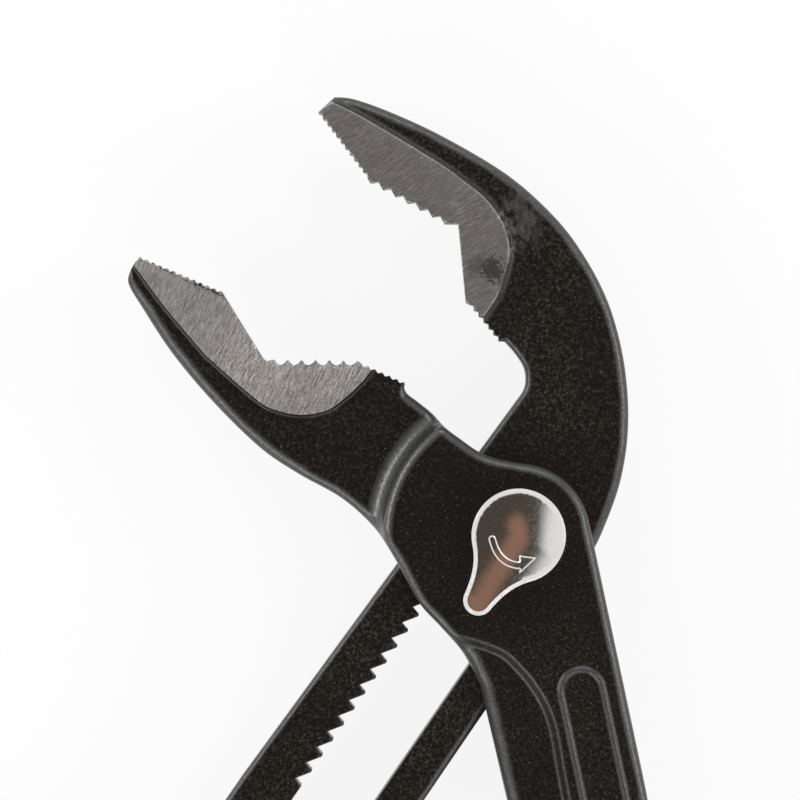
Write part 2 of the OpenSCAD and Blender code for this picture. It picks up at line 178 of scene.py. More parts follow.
def fine_loop(loop, slope=0.7):
    """The loop in short steps, with a rounding that grows slowly away from cut edges."""
    rows = []
    for a, b in zip(loop, np.roll(loop, -1, axis=0)):
        length = np.hypot(*(b - a)[:2])
        if length < 1e-6:
            continue
        hidden = np.hypot(*a[:2]) > GRIP_START + 4
        count = max(1, math.ceil(length / (HIDDEN_STEP if hidden else FINE_STEP)))
        rows += [a + (b - a) * k / count for k in range(count)]
    rows = np.array(rows)
    count = len(rows)
    for direction in (1, -1):
        for k in range(2 * count):
            here, there = (direction * k) % count, (direction * (k + 1)) % count
            gap = np.hypot(*(rows[there] - rows[here])[:2])
            rows[there, 2] = min(rows[there, 2], rows[here, 2] + slope * gap)
    uneven = np.array([noise.noise(Vector((x * 0.3, y * 0.3, 7.0))) for x, y, _ in rows])
    rows[:, 2] *= np.where(rows[:, 2] > CUT_LIMIT, 1 + 0.12 * uneven, 1)
    return rows


def left_normals(line, loop=False):
    if loop:
        way = np.roll(line, -1, axis=0) - np.roll(line, 1, axis=0)
    else:
        way = np.gradient(line, axis=0)
    way = way[:, :2] / np.maximum(np.hypot(way[:, 0], way[:, 1]), 1e-9)[:, None]
    return np.column_stack([-way[:, 1], way[:, 0]])


def in_batches(work, points, size=1000):
    return np.hstack([work(points[first:first + size]) for first in range(0, len(points), size)])


def line_distance(points, line):
    """Distance from each point to a line, and the place along the line that is nearest."""
    starts = line[:-1, :2]
    way = line[1:, :2] - starts
    size = np.maximum((way**2).sum(1), 1e-18)

    def nearest(batch):
        offset = batch[:, None, :2] - starts
        share = np.clip((offset * way).sum(2) / size, 0, 1)
        gap = ((offset - share[..., None] * way) ** 2).sum(2)
        best = gap.argmin(1)
        pick = np.arange(len(best)), best
        return np.sqrt(gap[pick]), best + share[pick]

    return in_batches(nearest, points)


def inside(points, loop):
    ax, ay = loop[:, 0], loop[:, 1]
    bx, by = np.roll(ax, -1), np.roll(ay, -1)
    rise = np.where(by == ay, 1.0, by - ay)

    def crossed(batch):
        x, y = batch[:, 0, None], batch[:, 1, None]
        hit = ((ay > y) != (by > y)) & (x < (bx - ax) * (y - ay) / rise + ax)
        return hit.sum(1) % 2 == 1

    return in_batches(crossed, points)


def region_depth(points, line, region):
    """Signed distance to a line, above zero inside the region that it bounds."""
    distance, _ = line_distance(points, line)
    return np.where(inside(points, region), distance, -distance)


def round_drop(distance, radius):
    """How far a worn edge lies under its face at a distance from the outline."""
    share = np.clip(1 - distance / np.maximum(radius, 1e-6), 0, 1) ** ROUND_POWER
    return radius * (1 - (1 - share) ** (1 / ROUND_POWER))


# Rings of points across a rounded edge and across a cut edge, as shares of the rounding
ROUND_RINGS = [0.03, 0.1, 0.25, 0.45, 0.65, 0.82, 0.93, 1.0, 1.12]
CUT_RINGS = [0.35, 1.0, 3.0]


class Plate:
    """Flat triangulation of an outline with holes, dense along its edges and its raised lines."""

    def __init__(self, outline, holes=()):
        self.outline = fine_loop(counter_clockwise(outline))
        self.holes = [fine_loop(counter_clockwise(hole))[::-1].copy() for hole in holes]
        self.loops = [self.outline, *self.holes]
        self.points, self.links = [], []
        for loop in self.loops:
            self.add_line(loop[:, :2], loop=True)
        for loop in self.loops:
            normals = left_normals(loop, loop=True)
            cut = loop[:, 2] < CUT_LIMIT
            for rings, chosen in ((ROUND_RINGS, ~cut), (CUT_RINGS, cut)):
                for share in rings:
                    depth = loop[chosen, 2] * share
                    self.add_points(loop[chosen, :2] + normals[chosen] * depth[:, None], depth * 0.97)

    def holds(self, points):
        found = inside(points, self.outline)
        for hole in self.holes:
            found &= ~inside(points, hole)
        return found

    def edge(self, points):
        """Distance to the nearest edge, and that edge's rounding."""
        distance = np.full(len(points), 1e9)
        radius = np.zeros(len(points))
        for loop in self.loops:
            ring = closed(loop)
            gap, place = line_distance(points, ring)
            nearer = gap < distance
            distance = np.where(nearer, gap, distance)
            radius = np.where(nearer, np.interp(place, np.arange(len(ring)), ring[:, 2]), radius)
        return distance, radius

    def add_line(self, line, loop=False):
        first = sum(len(p) for p in self.points)
        self.points.append(np.asarray(line, float))
        count = len(line)
        self.links += [(first + k, first + (k + 1) % count) for k in range(count if loop else count - 1)]

    def add_points(self, points, clearance):
        if len(points) == 0:
            return
        distance, _ = self.edge(points)
        self.points.append(points[self.holds(points) & (distance > clearance)])

    def add_bands(self, line, offsets, clearance=0.04, loop=False):
        normals = left_normals(line, loop)
        for offset in offsets:
            self.add_points(line + normals * offset, clearance)

    def add_field(self, low, high, spacing, clearance=1.2):
        x, y = np.meshgrid(np.arange(low[0], high[0], spacing), np.arange(low[1], high[1], spacing))
        x[1::2] += spacing / 2
        self.add_points(np.column_stack([x.ravel(), y.ravel()]), clearance)

    def triangles(self):
        points = np.vstack(self.points)
        found = delaunay_2d_cdt([Vector(p) for p in points], self.links, [], 0, 1e-6, False)
        flat = np.array([tuple(v) for v in found[0]])
        cells = np.array(found[2])
        middle = flat[cells].mean(1)
        cells = cells[self.holds(middle)]
        a, b, c = flat[cells[:, 0]], flat[cells[:, 1]], flat[cells[:, 2]]
        area = (b[:, 0] - a[:, 0]) * (c[:, 1] - a[:, 1]) - (b[:, 1] - a[:, 1]) * (c[:, 0] - a[:, 0])
        cells[area < 0] = cells[area < 0][:, ::-1]
        return flat, cells


# Levels of a layered piece from its back to its front
LEVELS = ["back", "recess", "floor", "ceiling", "pocket", "front"]

# Marks that only the front carries
FRONT_MARKS = "badge_wear", "scuffed"


def layered_piece(name, flat, cells, kinds, stacks, heights, finishes,
                  cell_finish=None, marks=None, crease=38):
    """Closed mesh from flat cells: stacks gives the filled spans of levels for each kind of cell.

    A level's height is one number, or one number for each point.
    """
    order = {level: number for number, level in enumerate(LEVELS)}
    used = {level: np.zeros(len(flat), bool) for level in heights}
    for kind, spans in stacks.items():
        corners = cells[kinds == kind].ravel()
        for level in {level for span in spans for level in span}:
            used[level][corners] = True
    index, places, sources, total = {}, [], [], 0
    for level in heights:
        chosen = np.flatnonzero(used[level])
        index[level] = np.full(len(flat), -1)
        index[level][chosen] = total + np.arange(len(chosen))
        places.append(np.column_stack([flat, np.broadcast_to(heights[level], len(flat))])[chosen])
        sources.append(chosen)
        total += len(chosen)
    faces, slots, beside = [], [], {}
    for number, (cell, kind) in enumerate(zip(cells, kinds)):
        slot = 0 if cell_finish is None else int(cell_finish[number])
        for low, high in stacks[kind]:
            faces += [index[high][cell].tolist(), index[low][cell[::-1]].tolist()]
            slots += [slot, slot]
        for a, b in ((0, 1), (1, 2), (2, 0)):
            beside[(cell[a], cell[b])] = kind

    def filled(kind):
        spans = stacks[kind] if kind is not None else []
        return {s for low, high in spans for s in range(order[low], order[high])}

    def rise(corner, low, high):
        between = [x for x in heights if order[low] <= order[x] <= order[high]]
        return [int(index[x][corner]) for x in sorted(between, key=order.get) if used[x][corner]]

    for (a, b), kind in beside.items():
        other = beside.get((b, a))
        if other == kind:
            continue
        bare = sorted(filled(kind) - filled(other))
        spans = [s for s in bare if s - 1 not in bare], [s + 1 for s in bare if s + 1 not in bare]
        for low, high in zip(*spans):
            faces.append(rise(a, LEVELS[low], LEVELS[high])[::-1] + rise(b, LEVELS[low], LEVELS[high]))
            slots.append(0)
    mesh = bpy.data.meshes.new(name)
    mesh.from_pydata((np.vstack(places) * MM).tolist(), [], faces)
    for finish in finishes:
        mesh.materials.append(finish)
    mesh.polygons.foreach_set("material_index", slots)
    levels = zip(heights, sources)
    on_front = np.concatenate([np.full(len(chosen), level == "front") for level, chosen in levels])
    for label, values in (marks or {}).items():
        strength = values[np.concatenate(sources)] * (on_front if label in FRONT_MARKS else 1)
        mesh.attributes.new(label, "FLOAT", "POINT").data.foreach_set("value", strength.astype(np.float32))
    return smooth_object(name, mesh, crease)


def smooth_object(name, mesh, sharp_degrees=38):
    mesh.polygons.foreach_set("use_smooth", [True] * len(mesh.polygons))
    mesh.set_sharp_from_angle(angle=math.radians(sharp_degrees))
    mesh.update()
    return add_object(name, mesh)


def add_object(name, data):
    added = bpy.data.objects.new(name, data)
    bpy.context.scene.collection.objects.link(added)
    return added


class Nodes:
    """A node tree being built; an input takes a value or another node's socket."""

    def __init__(self, tree):
        self.tree = tree

    def feed(self, sockets, values):
        for socket, value in zip(sockets, values):
            if isinstance(value, bpy.types.NodeSocket):
                self.tree.links.new(value, socket)
            else:
                socket.default_value = value

    def dress(self, node, **inputs):
        self.feed([node.inputs[key.replace("_", " ")] for key in inputs], inputs.values())

    def put(self, kind, settings=None, **inputs):
        node = self.tree.nodes.new(kind)
        for key, value in (settings or {}).items():
            setattr(node, key, value)
        self.dress(node, **inputs)
        return node

    def sum_of(self, operation, *values):
        node = self.put("ShaderNodeMath", {"operation": operation})
        self.feed(node.inputs, values)
        return node.outputs[0]

    def add(self, first, second):
        return self.sum_of("ADD", first, second)

    def times(self, first, second):
        return self.sum_of("MULTIPLY", first, second)

    def most(self, first, second):
        return self.sum_of("MAXIMUM", first, second)

    def vector_sum(self, operation, first, second):
        node = self.put("ShaderNodeVectorMath", {"operation": operation})
        self.feed(node.inputs, (first, second))
        return node.outputs["Value"]

    def spread(self, value, low, high, to_low=0.0, to_high=1.0):
        """Maps low and high to two new limits with a soft start and end."""
        node = self.put("ShaderNodeMapRange", {"interpolation_type": "SMOOTHSTEP"})
        self.feed(node.inputs, (value, low, high, to_low, to_high))
        return node.outputs[0]

    def blend(self, share, *colours):
        node = self.put("ShaderNodeMix", {"data_type": "RGBA"}, Factor=share)
        colours = [c if isinstance(c, bpy.types.NodeSocket) else (*c, 1) for c in colours]
        self.feed(node.inputs[6:8], colours)
        return node.outputs[2]


class Finish(Nodes):
    """A material with its shader and the piece's own coordinates in metres."""

    def __init__(self, name):
        self.material = bpy.data.materials.new(name)
        self.material.use_nodes = True
        super().__init__(self.material.node_tree)
        self.shader = self.tree.nodes["Principled BSDF"]
        self.place = self.put("ShaderNodeTexCoord").outputs["Object"]

    def grain(self, scale, detail=2.0, roughness=0.5, place=None):
        place = self.place if place is None else place
        node = self.put("ShaderNodeTexNoise", Vector=place, Scale=scale, Detail=detail, Roughness=roughness)
        return node.outputs["Fac"]

    def mark(self, label):
        """Strength of a mark that the mesh carries."""
        return self.put("ShaderNodeAttribute", {"attribute_name": label}).outputs["Fac"]

    def near_spot(self, centre_mm, reach_mm):
        """One at a spot on the piece, falling to zero at its reach."""
        gap = self.vector_sum("DISTANCE", self.place, [c * MM for c in centre_mm])
        return self.spread(gap, 0.0, reach_mm * MM, 1.0, 0.0)

    def specks(self, scale, size):
        """Small bright grains of uneven strength."""
        cells = self.put("ShaderNodeTexVoronoi", Vector=self.place, Scale=scale)
        dots = self.spread(cells.outputs["Distance"], size * 0.5, size, 1.0, 0.0)
        tone = self.put("ShaderNodeSeparateColor", Color=cells.outputs["Color"]).outputs[0]
        return self.times(dots, self.sum_of("POWER", tone, 3.0))

    def ragged(self, spot, grains, bite):
        """A spot whose border is eaten away by two kinds of grain."""
        return self.sum_of("MULTIPLY_ADD", self.add(*grains), bite, self.add(spot, -bite))

    def done(self, colour, metallic, roughness, height, strength, height_mm):
        """Joins colour, metal share, roughness and relief to the shader."""
        bump = self.put("ShaderNodeBump", Height=height, Strength=strength, Distance=height_mm * MM)
        self.dress(self.shader, Base_Color=colour, Metallic=metallic, Roughness=roughness,
                   Normal=bump.outputs[0])
        return self.material


# Colours of the finishes, as linear red, green and blue
SKIN_DEEP, SKIN_PALE = (0.0012, 0.0009, 0.0006), (0.003, 0.0023, 0.0016)
DUST_TINT = 1.0, 0.85, 0.68
SPECK_GREY = 0.25, 0.22, 0.19
# Worn steel, also the colour of the painted highlight bands
WORN_STEEL_AND_SHEEN = 0.13, 0.129, 0.128
RUBBED_STEEL = 0.1, 0.1, 0.103
GROUND_LIGHT, GROUND_DARK = (1.0, 0.965, 0.95), (1.0, 0.955, 0.93)
SOOT_BLACK = 0.02, 0.018, 0.016
PLATING_DIM, PLATING_BRIGHT = (0.87, 0.855, 0.835), (0.93, 0.92, 0.905)
PLASTIC_DEEP, PLASTIC_PALE = (0.012, 0.012, 0.0125), (0.019, 0.019, 0.02)


# Where the black skin is kept clean round the joint
CLEAN_SPOT, CLEAN_REACH, CLEAN_SHARE = (-3.0, 2.0, BOX_T), 24.0, 0.75


def forged_finish(name, grit_mm, dust_tone):
    """Black phosphate on a gritty forged skin, thinner on rounded edges and cleaner round the joint, with
    painted highlight bands of the same lighter steel on the cheeks' step and beside the strip's edge.
    """
    look = Finish(name)
    cloud = look.grain(90, 3)
    crystal = look.grain(2300, 4, 0.72)
    skin = look.grain(420, 2)
    colour = look.blend(cloud, SKIN_DEEP, SKIN_PALE)
    dust = look.times(look.spread(crystal, 0.45, 0.72), look.spread(cloud, 0.3, 0.7, 0.45, 1.0))
    joint = look.near_spot(CLEAN_SPOT, CLEAN_REACH)
    dust = look.times(dust, look.sum_of("MULTIPLY_ADD", joint, -CLEAN_SHARE, 1.0))
    colour = look.blend(dust, colour, [dust_tone * c for c in DUST_TINT])
    colour = look.blend(look.specks(2300, 0.17), colour, SPECK_GREY)
    # Worn steel on rounded edges and on the badge's ridge, plus painted highlight bands on the cheeks' step
    # and beside the strip's edge, lighter in colour and more metallic
    wear = look.most(look.mark("edge_wear_and_sheen"), look.mark("badge_wear"))
    worn = look.times(wear, look.spread(crystal, 0.3, 0.7, 0.3, 0.75))
    colour = look.blend(worn, colour, WORN_STEEL_AND_SHEEN)
    scuff = look.mark("scuffed")
    rubbed = look.ragged(scuff, (look.grain(950, 3, 0.6), skin), 2.2)
    rubbed = look.times(look.spread(rubbed, -0.2, 1.3), look.spread(scuff, 0.0, 0.6))
    colour = look.blend(rubbed, colour, RUBBED_STEEL)
    bare = look.most(worn, look.times(rubbed, 0.6))
    return look.done(colour, bare, look.spread(crystal, 0.25, 0.75, 0.27, 0.34),
                     look.add(skin, crystal), 0.9, grit_mm)


def ground_finish(name, streak_degrees, tone, contrast, smudges):
    """Ground steel: straight streaks, soot in the teeth, and smudges of centre, reach and strength."""
    look = Finish(name)
    turn = 0, 0, math.radians(streak_degrees)
    along = look.put("ShaderNodeMapping", {"vector_type": "TEXTURE"}, Vector=look.place, Rotation=turn,
                     Scale=(1, 0.06, 0.2)).outputs[0]
    fine = look.grain(760, 2, 0.6, along)
    cloud = look.grain(160, 3)
    flecks = look.grain(3200, 2)
    streaks = look.sum_of("MULTIPLY_ADD", fine, 0.72, look.times(flecks, 0.28))
    light = [tone * (1 + contrast) * c for c in GROUND_LIGHT]
    dark = [tone * (1 - contrast) * c for c in GROUND_DARK]
    colour = look.blend(look.spread(streaks, 0.34, 0.66), dark, light)
    colour = look.blend(look.spread(cloud, 0.35, 0.75, 0.0, 0.35), colour, dark)
    scratches = look.spread(fine, 0.61, 0.72, 0.0, 0.75)
    colour = look.blend(scratches, colour, [min(1.0, 1.7 * c) for c in light])
    soot = look.grain(1500, 4, 0.7)
    dirt = look.times(look.spread(soot, 0.42, 0.56), look.spread(look.mark("tooth_dirt"), 0.2, 0.55))
    for x, y, reach, strength in smudges:
        spot = look.near_spot((x, y, PAD_TOP), reach)
        patch = look.spread(look.ragged(spot, (flecks, soot), 1.6), 0.05, 0.85, 0.0, strength)
        dirt = look.most(dirt, look.times(patch, look.spread(spot, 0.0, 0.3)))
    return look.done(look.blend(dirt, colour, SOOT_BLACK), look.sum_of("SUBTRACT", 1.0, dirt),
                     look.spread(streaks, 0.3, 0.7, 0.38, 0.48), streaks, 0.3, 0.008)


def polished_finish(name):
    """Bright plating with a faint ripple and a fine peel."""
    look = Finish(name)
    ripple = look.grain(260, 1)
    peel = look.grain(2600, 3)
    relief = look.sum_of("MULTIPLY_ADD", peel, 0.12, ripple)
    return look.done(look.blend(ripple, PLATING_DIM, PLATING_BRIGHT), 1.0,
                     look.spread(peel, 0.3, 0.7, 0.09, 0.16), relief, 0.08, 0.05)


def dipped_finish(name):
    """Soft black plastic from a dip bath, with a faint orange peel."""
    look = Finish(name)
    peel = look.grain(900, 2)
    cloud = look.grain(60, 2)
    return look.done(look.blend(cloud, PLASTIC_DEEP, PLASTIC_PALE), 0.0,
                     look.spread(cloud, 0.3, 0.7, 0.38, 0.5), peel, 0.25, 0.05)


def turned_finish(name, light, dark, roughness):
    """Machined steel with fine rings round the pivot axis."""
    look = Finish(name)
    rings = look.put("ShaderNodeTexWave", {"wave_type": "RINGS", "rings_direction": "Z"}, Vector=look.place,
                     Scale=900, Distortion=0.6, Detail=2.0).outputs["Fac"]
    cloud = look.grain(500, 3)
    tone = look.sum_of("MULTIPLY_ADD", rings, 0.5, look.times(cloud, 0.5))
    return look.done(look.blend(tone, dark, light), 1.0,
                     look.spread(tone, 0.2, 0.8, roughness, roughness + 0.15), rings, 0.15, 0.01)


# Fixed jaw and box, from the jaw's tip along its teeth and round the lever
JAW_TIP = (-41.3, 46.4)
JAW_NOTCH_TOP = (-31.7, 39.7)
JAW_NOTCH_FOOT = [(-28.2, 29.9), (-27.7, 29.4)]
JAW_COARSE = (-26.8, 29.4), (-16, 27)
JAW_HEEL = (-15.6, 26.6), (-10.5, 22.9)
JAW_HEEL_EDGE = [
    (-10.5, 22.6), (-10.65, 22), (-10.35, 21.2), (-9.3, 20), (-7.7, 18), (-6.6, 16.1), (-5, 14.2),
    (-2.6, 11.7), (0, 10.2)]
JAW_BACK = [
    (-9, -18.5), (-10.3, -13.8), (-12.2, -10.2), (-14.4, -6.5), (-15.6, -3), (-16.6, 0.5), (-18.4, 4.9),
    (-21.8, 9.6), (-26.8, 14), (-31, 18.4), (-35.8, 25.6), (-39.7, 32.9), (-42.4, 39.8), (-43.5, 43.2),
    (-42.9, 44.8), (-42, 45.8)]
JAW_PAD_EDGE = [
    (-42.2, 45.4), (-39.7, 39.8), (-36.1, 33), (-34.7, 30.8), (-29.8, 24.35), (-27.3, 22.5),
    (-25.1, 21.6), (-22.8, 21.3), (-20.2, 21.7), (-15.8, 24.2), (-13, 26.8)]
STRIP_EDGE = [
    (-12.6, -10.6), (-6, -14.3), (-3.6, -17.2), (-2, -20.4), (-1.1, -23.4), (-0.8, -26.5), (-1, -32.5),
    (-1.2, -44), (-1.2, -54), (-1.2, -66)]
BADGE_X, BADGE_TOP, BADGE_W, BADGE_L, BADGE_INSET, BADGE_RISE = 3.9, -18.7, 6.0, 26.0, 0.22, 0.35
WEB_LINE, WEB_STEP = 65.0, 0.12
RACK_ROOM, PLAIN_ROOM = 12.3, 10.2
STEP_ARC = 85, 215, 150
BOX_FIELD = (-45, -78), (12, 48), 2.2
MOUTH_FLARE, CHEEK_EDGE_T = 0.2, 0.12
SOOT_REACH, SOOT_AT_TIP = 0.8, 0.45
BOX_SHOULDER = 34.0
BOX_HANDLE_MID = 0.4
BOX_HANDLE_W = 2 * (BOSS_R - BOX_HANDLE_MID)
BOX_BOW = 4.0
BARE_END = REACH - 3 - HANDLE_W / 2
RAMP_START, RAMP_END = 58.0, GRIP_START - 4
BOLT_HEAD_ROOM = 5.85
BOLT_HEAD_T = 1.5
BOLT_SEAT_R = 4.4
SPRING_POCKET = 1.99

# Sliding lever in its own frame, with the slot along +Y
SLIDE_TIP, SLIDE_FINE_END = (-53.4, 31.1), (-43.2, 27.7)
SLIDE_COARSE = (-42.5, 27.4), (-31.3, 28.5)
SLIDE_NOTCH = [(-29.8, 29.5), (-23.1, 21.5)]
SLIDE_HEEL = (-22.6, 21.5), (-16.6, 19.7)
SLIDE_THROAT = [(-15.9, 20.1), (-13.9, 19.6), (-12, 18.8), (-10.8, 17.6), (-10.2, 16.2), (-10.2, 14.4)]
SLIDE_BACK = [
    (9.5, 3), (9, 6.6), (7.4, 12.9), (4.7, 18.8), (1.1, 24), (-3.3, 28.7), (-8.6, 32.8), (-15.1, 36),
    (-21.1, 37.7), (-28.4, 38.5), (-37.6, 37.9), (-45, 36.7), (-50.4, 35.3), (-52.8, 34)]
SLIDE_PAD_EDGE = [
    (-52.9, 33.2), (-47.7, 33.9), (-36.4, 34.6), (-32.3, 34.5), (-28.7, 34.2), (-25.3, 33), (-23.3, 31.5),
    (-21.9, 29.8), (-20.9, 27.2), (-20.1, 23.9), (-20.3, 19)]
SHANK_RACK_EDGE, SHANK_PLAIN_EDGE = -12.0, 9.7
SLIDE_SHOULDER = 47.0
SLIDE_BEND, SLIDE_BEND_L = 7.0, 44.0
SLIDE_RETURN, SLIDE_RETURN_L = 5.0, 90.0
RACK_SIDE, PLAIN_SIDE = 4.8, 4.4
RACK_PITCH, RACK_DEPTH, RACK_TEETH = 2.5, 1.2, 16
SLOT_TOP, RACK_FIRST = 3.6, -6.15
RACK_TIP_FLAT, RACK_ROOT_FLAT = 0.25, 0.15
RACK_LEAD = 0.28 * RACK_DEPTH


def box_mid(d):
    share = ease((d - BOX_SHOULDER) / (REACH - BOX_SHOULDER))
    return BOX_HANDLE_MID + BOX_BOW * (1 - np.cos(2 * np.pi * share)) / 2


def box_width(d):
    share = ease((d - BOX_SHOULDER) / (GRIP_START - BOX_SHOULDER))
    return BOX_HANDLE_W + (HANDLE_W - BOX_HANDLE_W) * share


def slide_mid(d):
    middle = (SHANK_RACK_EDGE + SHANK_PLAIN_EDGE) / 2
    bend = SLIDE_BEND * ease((d - SLIDE_SHOULDER) / SLIDE_BEND_L)
    return middle - bend + SLIDE_RETURN * ease((d - REACH + SLIDE_RETURN_L) / SLIDE_RETURN_L)


def slide_width(d):
    full = SHANK_PLAIN_EDGE - SHANK_RACK_EDGE
    return full + (HANDLE_W - full) * ease((d - SLIDE_SHOULDER) / (GRIP_START - SLIDE_SHOULDER))


def handle_edge(middle, width, start, end, side, steps=60):
    d = np.linspace(start, end, steps + 1)
    return np.column_stack([middle(d) + side * width(d) / 2, -d])


def box_outline():
    left = rounded(handle_edge(box_mid, box_width, BARE_END, BOX_SHOULDER, -1), STRIP_ROUND)
    back = rounded(curve(JAW_BACK), FORGED_ROUND)
    back[:8, 2] = STRIP_ROUND
    back[48:, 2] = JAW_BACK_ROUND
    back[-20:, 2] = np.linspace(JAW_BACK_ROUND, 0.35, 20)
    back[-6:, 2] = TIP_ROUND
    return np.vstack([
        tooth_row(JAW_TIP, JAW_NOTCH_TOP, 12, FINE_DEPTH, VEE),
        rounded(JAW_NOTCH_FOOT, CUT_ROUND),
        tooth_row(*JAW_COARSE, 6, COARSE_DEPTH, SCOOP),
        tooth_row(*JAW_HEEL, 6, FINE_DEPTH, VEE),
        rounded(curve(JAW_HEEL_EDGE), FORGED_ROUND),
        rounded(arc((0, 0), BOSS_R, 74, 0, 30), FORGED_ROUND),
        rounded(handle_edge(box_mid, box_width, BOX_SHOULDER, BARE_END, 1), FORGED_ROUND),
        rounded(arc((box_mid(BARE_END), -BARE_END), HANDLE_W / 2, 0, -180, 12)[1:-1], FORGED_ROUND),
        left, back])


def web_lines():
    """Corner and both ends of each solid web beside the space of the sliding lever."""
    half = (SWING_OPEN + SWING_CLOSE) / 2
    middle = SLOT_ANGLE + (SWING_CLOSE - SWING_OPEN) / 2
    rack = polar(RACK_ROOM / math.cos(math.radians(half)), middle + 90)
    plain = polar(PLAIN_ROOM / math.cos(math.radians(half)), middle - 90)
    return [(rack + polar(FAR, middle + half), rack, rack + polar(FAR, middle - half + 180), middle + 90),
            (plain + polar(FAR, middle + half + 180), plain, plain + polar(FAR, middle - half), middle - 90)]


def cheek_profile():
    """Radius and height of the cheeks' step down to the fixed jaw."""
    crest = [(CHEEK_R - CREST_ROUND * (1 - math.sin(a)), BOX_T - CREST_ROUND * (1 - math.cos(a)))
             for a in np.radians((0, 15, 30, 45, 60, 75, 90))]
    foot = CHEEK_R + STEP_FILLET
    fillet = [(foot - (STEP_FILLET - 0.04) * math.cos(a), SHANK_TOP + STEP_FILLET * (1 - math.sin(a)))
              for a in np.radians((0, 12, 25, 38, 52, 66, 80, 90))]
    return np.array(crest + fillet)


def badge_loop(inset):
    r = BADGE_W / 2 - inset
    upper, lower = BADGE_TOP - BADGE_W / 2, BADGE_TOP - BADGE_L + BADGE_W / 2
    side = np.linspace(upper, lower, 40)[1:-1]
    left = np.column_stack([np.full(38, BADGE_X - r), side])
    right = np.column_stack([np.full(38, BADGE_X + r), side[::-1]])
    top, bottom = arc((BADGE_X, upper), r, 0, 180, 22), arc((BADGE_X, lower), r, 180, 360, 22)
    return np.vstack([top, left, bottom, right])


# Where points lie across a pad's edge, the strip's step and the rim of the plate
PAD_BANDS = (-0.9, -0.75, -0.6, -0.5, -0.4, -0.3, -0.22, -0.1, 0.08, 0.16, 0.3)
STRIP_BANDS = (-0.8, -0.65, -0.5, -0.35, -0.2, -0.07, 0.07, 0.2, 0.35, 0.5, 0.65, 0.8)
RIDGE_BANDS = (-0.62, -0.5, -0.38, -0.26, -0.13, 0.0, 0.13, 0.26, 0.38, 0.5, 0.62)
PAD_FOOT_H, PAD_FOOT_W = 0.16, 0.4
RIDGE_HALF_W, STRIP_STEP_W, STRIP_FADE = 0.55, 1.3, 5.0
FIXED_PAD_WALL, FIXED_PAD_WEAR = 0.22, 0.0
SLIDE_PAD_WALL, SLIDE_PAD_WEAR = 0.45, 0.06

# Lighter worn-steel bands on the step of the cheeks and on both sides of the strip's edge: partly real wear,
# partly painted highlight
STEP_WEAR_AND_SHEEN, STEP_WEAR_AND_SHEEN_UPPER, STEP_WEAR_AND_SHEEN_LOWER = 1.4, 0.4, 0.5
CREST_WEAR_AND_SHEEN, CREST_OFFSET, CREST_SPREAD = 0.8, 0.5, 0.17


def pad_rise(depth, wall, worn_edge):
    """Height of a ground pad: a worn edge, a steep wall and a small hollow at the wall's foot."""
    out = np.clip(-depth, 0, None)
    top = PAD_H - worn_edge * np.clip(1 - depth / 0.3, 0, 1) ** 2
    side = PAD_H - worn_edge - (PAD_H - worn_edge - PAD_FOOT_H) * out / wall
    foot = PAD_FOOT_H * np.clip(1 - (out - wall) / PAD_FOOT_W, 0, 1) ** 2
    return np.where(depth >= 0, top, np.where(out < wall, side, foot))


def wear_marks(plate, flat):
    """Distance to the nearest edge, its rounding, wear on rounded edges and dirt on cut edges."""
    distance, radius = plate.edge(flat)
    share = distance / np.maximum(radius, CUT_LIMIT)
    edge = np.where(radius > CUT_LIMIT, ease((1.1 - share) / 0.3), 0)
    burr = np.where(radius < CUT_LIMIT, 0.8 * np.clip(1 - distance / 0.2, 0, 1), 0)
    return distance, radius, {"edge_wear_and_sheen": edge, "tooth_dirt": burr}


